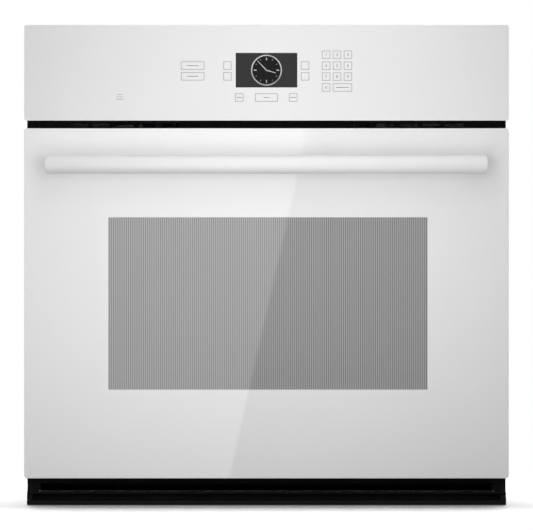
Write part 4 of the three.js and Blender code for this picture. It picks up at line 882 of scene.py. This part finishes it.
def lamp():
    """Glass bowl with a turned rim, a bulb behind it, and its housing in the wall."""
    low, high = corners("lamp_lens")
    centre = middle("lamp_lens")
    radius = (high.y - low.y) / 2
    inner = radius - 3
    dome = arc((0, low.x + 4), (radius * 0.98, high.x - low.x - 4), 90, -90, 8)
    hollow = arc((0, low.x + 2), (inner, high.x - low.x - 5), 0, 90, 8)
    rim = [(radius, low.x + 3), (radius, low.x), (inner, low.x), (inner, low.x + 3)]
    bowl = [(0.01, high.x)] + dome[1:] + rim + hollow[:-1] + [(0.01, high.x - 3)]
    shape = Shape().turned(bowl, (0, centre.y, centre.z), "x", 48)
    make("lamp_bowl", shape, "clear_glass", "oven_body", ["lamp_lens"], crease=50)
    low, high = corners("lamp_housing")
    centre = middle("lamp_housing")
    radius = (high.y - low.y) / 2
    cup = [(radius - 1.2, high.x), (radius, high.x), (radius, low.x + 2), (radius - 2, low.x), (10, low.x),
           (10, low.x + 1.2), (radius - 3, low.x + 1.2), (radius - 1.2, low.x + 3)]
    shape = Shape().turned(cup, (0, centre.y, centre.z), "x", 48, closed=True)
    make("lamp_cup", shape, "galvanised_steel", "oven_body", ["lamp_housing"], crease=40)
    low, high = corners("lamp_bulb")
    bulb = [(0.01, low.x), (7, low.x), (7, low.x + 12), (5.2, low.x + 13.5)]
    bulb += arc((0.01, high.x - 9), (8, 8.9), -60, 150, 10)[1:]
    shape = Shape().turned(bulb, (0, centre.y, centre.z), "x", 32)
    make("lamp_capsule", shape, "clear_glass", "oven_body", ["lamp_bulb"], crease=40)


def conduit():
    """Threaded conduit connector with a hexagonal locknut on the top cover."""
    low, high = corners("conduit_fitting")
    centre = middle("conduit_fitting")
    deck = corners("top_cover")[1].z
    bore, radius, threads = 10, 15, 9
    profile = [(13, low.z), (13, deck + 0.3), (19, deck + 0.3), (19, deck + 2), (radius, deck + 2)]
    step = (high.z - deck - 3) / threads
    for k in range(threads):
        z = deck + 2.4 + step * k
        profile += [(radius - 0.9, z), (radius, z + step / 2)]
    profile += [(radius - 1, high.z), (bore, high.z), (bore, low.z)]
    axis = (centre.x, centre.y, 0)
    shape = Shape().turned(profile, axis, "z", 48, closed=True)
    foot, head, hole = deck + 2.1, deck + 7, radius + 0.1
    nut = [(18.4, foot), (19.0, deck + 2.6), (19.0, deck + 6.4), (18.4, head), (hole, head), (hole, foot)]
    shape.turned(nut, axis, "z", 6, closed=True)
    make("conduit_connector", shape, "galvanised_steel", "oven_body", ["conduit_fitting"], crease=30)


def relay_board():
    """Power board: card, relays, transformer, capacitors and connectors."""
    card = 9.6  # top of the card, which stands on four posts
    seat = card + 0.1
    shape = Shape()
    shape.block((0, 0, 8), (180, 120, card), 0.2)
    for i in range(6):
        x = 10 + i * 26
        shape.block((x, 75, seat), (x + 20, 103, 25), 0.8, 1)
    shape.block((17, 17, seat), (63, 53, 20), 0.8, 2)
    shape.block((22, 22, 18), (58, 48, 40), 2.5, 3)
    for x in (100, 124):
        tall = [(0.01, seat), (7.6, seat), (8, 10.2), (8, 33), (7.4, 34), (0.01, 34)]
        shape.turned(tall, (x, 32, 0), "z", 32, 4)
    for k in range(6):
        x = 143 + k * 5
        shape.block((x, 11, seat), (x + 4, 40, 22), 0.4, 5)
    for x in (10, 170):
        for y in (10, 110):
            shape.turned([(0.01, 0), (3, 0), (3, 8), (0.01, 8)], (x, y, 0), "z", 16, 5)
            screw_head(shape, (x, y, seat), "z", 1, 2.6, 6)
    shape.turn(Matrix.Translation(corners("relay_board")[0]))
    finishes = ["circuit_board", "blue_plastic", "galvanised_steel", "red_plastic", "black_plastic",
                "ivory_plastic", "zinc_screw"]
    make("power_board", shape, finishes, "oven_body", ["relay_board"])


# ---- casing details
CASING_SCREW = 3.6  # radius of the heads


def casing_screws():
    """Sheet metal screws round the rear cover, the side panels and the top cover."""
    shape = Shape()
    low, high = corners("rear_cover")
    rows = [(x * high.x, z) for x in (-0.94, -0.47, 0, 0.47, 0.94) for z in (low.z + 10, high.z - 10)]
    for share in (0.33, 0.66):
        rows += [(side * (high.x - 10), low.z + share * (high.z - low.z)) for _, side in SIDES]
    for x, z in rows:
        screw_head(shape, (x, high.y, z), "y", 1, CASING_SCREW)
    low, high = corners("right_side_panel")
    for y in (30, 200, 370, 540):
        for z in (low.z + 8, high.z - 6):
            for _, side in SIDES:
                screw_head(shape, (side * high.x, low.y + y, z), "x", side, CASING_SCREW)
    low, high = corners("top_cover")
    for x in (-0.96, -0.5, 0, 0.5, 0.96):
        for y in (low.y + 10, high.y - 10):
            screw_head(shape, (x * high.x, y, high.z), "z", 1, CASING_SCREW)
    make("casing_screws", shape, "zinc_screw", "oven_body")


def panel_beads():
    """Pressed stiffening beads on the side panels, the top and the rear cover."""
    shape = Shape()
    low, high = corners("right_side_panel")
    for _, side in SIDES:
        x = side * high.x
        for z0, z1 in ((low.z + 60, low.z + 280), (low.z + 320, low.z + 540)):
            outline = rounded_rectangle(low.y + 60, high.y - 60, z0, z1, 30, 8)
            bead(shape, [(x, y, z) for y, z in outline], (side, 0, 0))
    low, high = corners("rear_cover")
    for x0, x1 in ((low.x + 60, -20), (20, high.x - 60)):
        outline = rounded_rectangle(x0, x1, low.z + 60, low.z + 470, 30, 8)
        bead(shape, [(x, high.y, z) for x, z in outline], (0, 1, 0))
    low, high = corners("top_cover")
    outline = rounded_rectangle(low.x + 140, high.x - 60, low.y + 110, high.y - 130, 30, 8)
    bead(shape, [(x, y, high.z) for x, y in outline], (0, 0, 1))
    make("panel_beads", shape, "galvanised_steel", "oven_body", crease=70)


BEAD_HALF = 6
BEAD_PROFILE = ((-1, -0.2), (-0.8, 0.35), (-0.45, 1.15), (0, 1.5), (0.45, 1.15), (0.8, 0.35), (1, -0.2))


def bead(shape, path, out):
    """A low rounded ridge along a closed path on a flat wall that faces out."""
    path = [Vector(p) for p in path]
    out = Vector(out)
    rings = []
    for i, point in enumerate(path):
        along = (path[(i + 1) % len(path)] - path[i - 1]).normalized()
        across = out.cross(along)
        ring = []
        for share, tall in BEAD_PROFILE:
            ring.append(point + across * BEAD_HALF * share + out * tall)
        rings.append(ring)
    shape.loft(rings, closed=True)


TRIM_FACE = corners("front_frame")[1].y - 1.5  # front of the side trims' flanges


def trim_screws():
    shape = Shape()
    for name, side in SIDES:
        low, high = corners("side_trim_" + name)
        inner = corners("right_side_panel")[1].x
        x = side * (inner + high.x if side > 0 else inner - low.x) / 2
        door_top = corners("door_outer_glass")[1].z
        for drop in (40, 250, 460):
            screw_head(shape, (x, TRIM_FACE, door_top - drop), "y", -1, 3.4)
    low, high = corners("lower_vent_trim")
    for x in (-240, 0, 240):
        screw_head(shape, (x, high.y - 12 - 7, 37 + low.z), "y", -1, 2.8)
    make("trim_screws", shape, "black_paint", "oven_body")


def vent_duct():
    """Folded black duct over the base pan, which leads the cooling air to the vent trim."""
    pan_low, pan_high = corners("base_pan")
    roof = corners("cavity_insulation")[0].z - 4
    left, right = pan_low.x + 2.5, pan_high.x - 2.5
    front, deep = pan_low.y - 0.9, pan_low.y + 190
    level, sheet = pan_low.z + 1.6, 0.8
    shape = Shape()
    shape.block((left, front, level), (right, deep, level + sheet), 0.2)
    shape.block((left, front, pan_low.z + 0.8), (right, front + 0.6, level), 0.1)
    shape.block((left, deep - sheet, level + sheet), (right, deep, roof), 0.2)
    for x in (pan_low.x - 0.2, pan_high.x - 2.6):
        shape.block((x, front, level + sheet), (x + 2.8, front + 0.6, pan_high.z + 0.4), 0.1)
    for x in (left, right - sheet):
        shape.block((x, pan_low.y + 2, level + sheet), (x + sheet, deep - sheet, roof), 0.2)
    make("vent_duct", shape, "black_paint", "oven_body")


# ---- stage and light
AMBIENT = 0.248
FLOOR_REACH = 1400
FLOOR_DROP = 0.2
FLOOR_SEEN = 1.0  # how bright the camera sees the floor
FLOOR_BOUNCE = 0.2  # how much light it throws back on the object
FLOOR_FADE = 0.78  # metres from the middle where the floor starts to fade
MIRRORED = {"rises": (-0.5, 0.9), "tones": (0.25, 1.0)}  # the backdrop in reflections, from low to high


def world():
    """White backdrop that gives the object only a dim, even light of its own."""
    made = bpy.data.worlds.new("studio")
    made.use_nodes = True
    made.node_tree.nodes.clear()
    new, link = made.node_tree.nodes.new, made.node_tree.links.new
    rays = new("ShaderNodeLightPath").outputs
    seen, soft, mirrored = (new("ShaderNodeBackground") for _ in range(3))
    seen.inputs["Color"].default_value = (1, 1, 1, 1)
    soft.inputs["Color"].default_value = (AMBIENT, AMBIENT, AMBIENT, 1)
    split, rise = new("ShaderNodeSeparateXYZ"), new("ShaderNodeMapRange")
    link(new("ShaderNodeTexCoord").outputs["Generated"], split.inputs[0])
    for label, values in (("From", MIRRORED["rises"]), ("To", MIRRORED["tones"])):
        rise.inputs[label + " Min"].default_value, rise.inputs[label + " Max"].default_value = values
    link(split.outputs["Z"], rise.inputs["Value"])
    link(rise.outputs["Result"], mirrored.inputs["Color"])
    first, second = (new("ShaderNodeMixShader") for _ in range(2))
    out = new("ShaderNodeOutputWorld")
    for source, target in (
        (rays["Is Diffuse Ray"], first.inputs[0]), (seen.outputs[0], first.inputs[1]),
        (soft.outputs[0], first.inputs[2]), (rays["Is Glossy Ray"], second.inputs[0]),
        (first.outputs[0], second.inputs[1]), (mirrored.outputs[0], second.inputs[2]),
        (second.outputs[0], out.inputs["Surface"]),
    ):
        link(source, target)
    bpy.context.scene.world = made


def staged(name, points, material):
    """A flat polygon of the stage, which isn't part of the oven."""
    mesh = bpy.data.meshes.new(name)
    mesh.from_pydata([Vector(p) * MM for p in points], [], [list(range(len(points)))])
    mesh.materials.append(material)
    made = placed(name, mesh)
    return made


def floor():
    """Pale round floor that fades into the backdrop."""
    n = Nodes("floor")
    seen = n.add("LightPath").outputs["Is Camera Ray"]
    tone = n.mixed(seen, (FLOOR_BOUNCE,) * 3, (FLOOR_SEEN,) * 3)
    matte, clear = n.add("BsdfDiffuse", {"Color": tone}), n.add("BsdfTransparent")
    far = n.add("VectorMath", {0: n.place}, operation="LENGTH").outputs["Value"]
    fade = n.between(far, 0, 1, FLOOR_FADE, FLOOR_REACH * MM)
    share = n.math("MAXIMUM", fade, n.add("NewGeometry").outputs["Backfacing"])
    material = n.surface(n.add("MixShader", {0: share, 1: matte.outputs[0], 2: clear.outputs[0]}))
    return staged("floor", [(x, y, -FLOOR_DROP) for x, y in circle(FLOOR_REACH, 64)], material)


def light(name, place, target, size, power, ground=None, link="EXCLUDE"):
    """An area light aimed at a point and never seen; it may skip the ground, or light nothing else."""
    data = bpy.data.lights.new(name, "AREA")
    data.shape = "RECTANGLE"
    data.size, data.size_y = size
    data.energy = power
    made = placed(name, data)
    made.location = place
    made.rotation_euler = (Vector(target) - Vector(place)).to_track_quat("-Z", "Y").to_euler()
    made.visible_camera = False
    made.visible_glossy = False
    if ground:
        receivers = bpy.data.collections.new(name + "_receivers")
        receivers.objects.link(ground)
        receivers.collection_objects[0].light_linking.link_state = link
        made.light_linking.receiver_collection = receivers


def studio():
    world()
    ground = floor()
    light("shadow_caster", (0, 0.30, 2.5), (0, 0.30, 0), (1.4, 0.8), 80, ground, "INCLUDE")
    for name, side in SIDES:
        place = (side * 0.6, 2.6, 0.9)
        light(name + "_floor", place, (side * 0.6, 0, 0), (0.3, 0.5), 80, ground, "INCLUDE")
    light("overhead", (0, 0.20, 2.5), (0, 0.20, 0), (3.4, 0.9), 10, ground)
    light("front_low", (0.05, -1.0, 0.4), (0.05, -0.3, 0.35), (0.6, 0.7), 2.9, ground)
    light("front_high", (0, -0.9, 0.85), (0, -0.3, 0.6), (0.4, 0.6), 1.05, ground)
    light("front_top", (0, -1.0, 1.4), (0, -0.3, 0.67), (0.6, 0.7), 1.8, ground)
    light("front_foot", (-0.5, -1.0, 0.0), (-0.25, -0.3, 0.25), (0.6, 0.7), 1.0, ground)
    light("left_fill", (-3.0, 0.7, 1.6), (0, 0, 0.35), (1.5, 1.5), 45, ground)
    light("right_fill", (3.0, 0.8, 1.6), (0, 0, 0.35), (1.5, 1.5), 40, ground)
    light("rear_fill", (0.6, 3.2, 1.4), (0, 0, 0.35), (2.0, 1.5), 50, ground)
    reflection_card()


CARD_GAP = 2000  # the card stands this far in front of the glass
CARD_GLOW = 1.8
CARD_MARGIN = 60
CARD_EDGE = (64.7, -58.6)  # where its image ends at the door's top and foot


def reflection_card():
    """A lit card whose mirror image in the door ends on a slanting line."""
    low, high = corners("door_outer_glass")
    grow = 1 + CARD_GAP / CAMERA_DISTANCE
    left = low.x - CARD_MARGIN
    outline = [(CARD_EDGE[0], high.z), (CARD_EDGE[1], low.z), (left, low.z - 20), (left, high.z)]
    points = []
    for x, z in outline:
        points.append((x * grow, FACE_Y - CARD_GAP, VIEW_HEIGHT + (z - VIEW_HEIGHT) * grow))
    n = Nodes("card_glow")
    lit, clear = n.add("Emission", {"Strength": CARD_GLOW}), n.add("BsdfTransparent")
    material = n.surface(n.add("AddShader", {0: lit.outputs[0], 1: clear.outputs[0]}))
    made = staged("reflection_card", points, material)
    for ray in ("camera", "diffuse", "transmission", "volume_scatter", "shadow"):
        setattr(made, "visible_" + ray, False)


# ---- scene
bpy.context.scene.view_settings.view_transform = "Standard"
make_camera()
soften_all()
control_front()
door_front()
handle()
for level in RACK_NAMES:
    rack(level)
elements()
gasket()
lamp()
conduit()
relay_board()
casing_screws()
panel_beads()
trim_screws()
vent_duct()
studio()
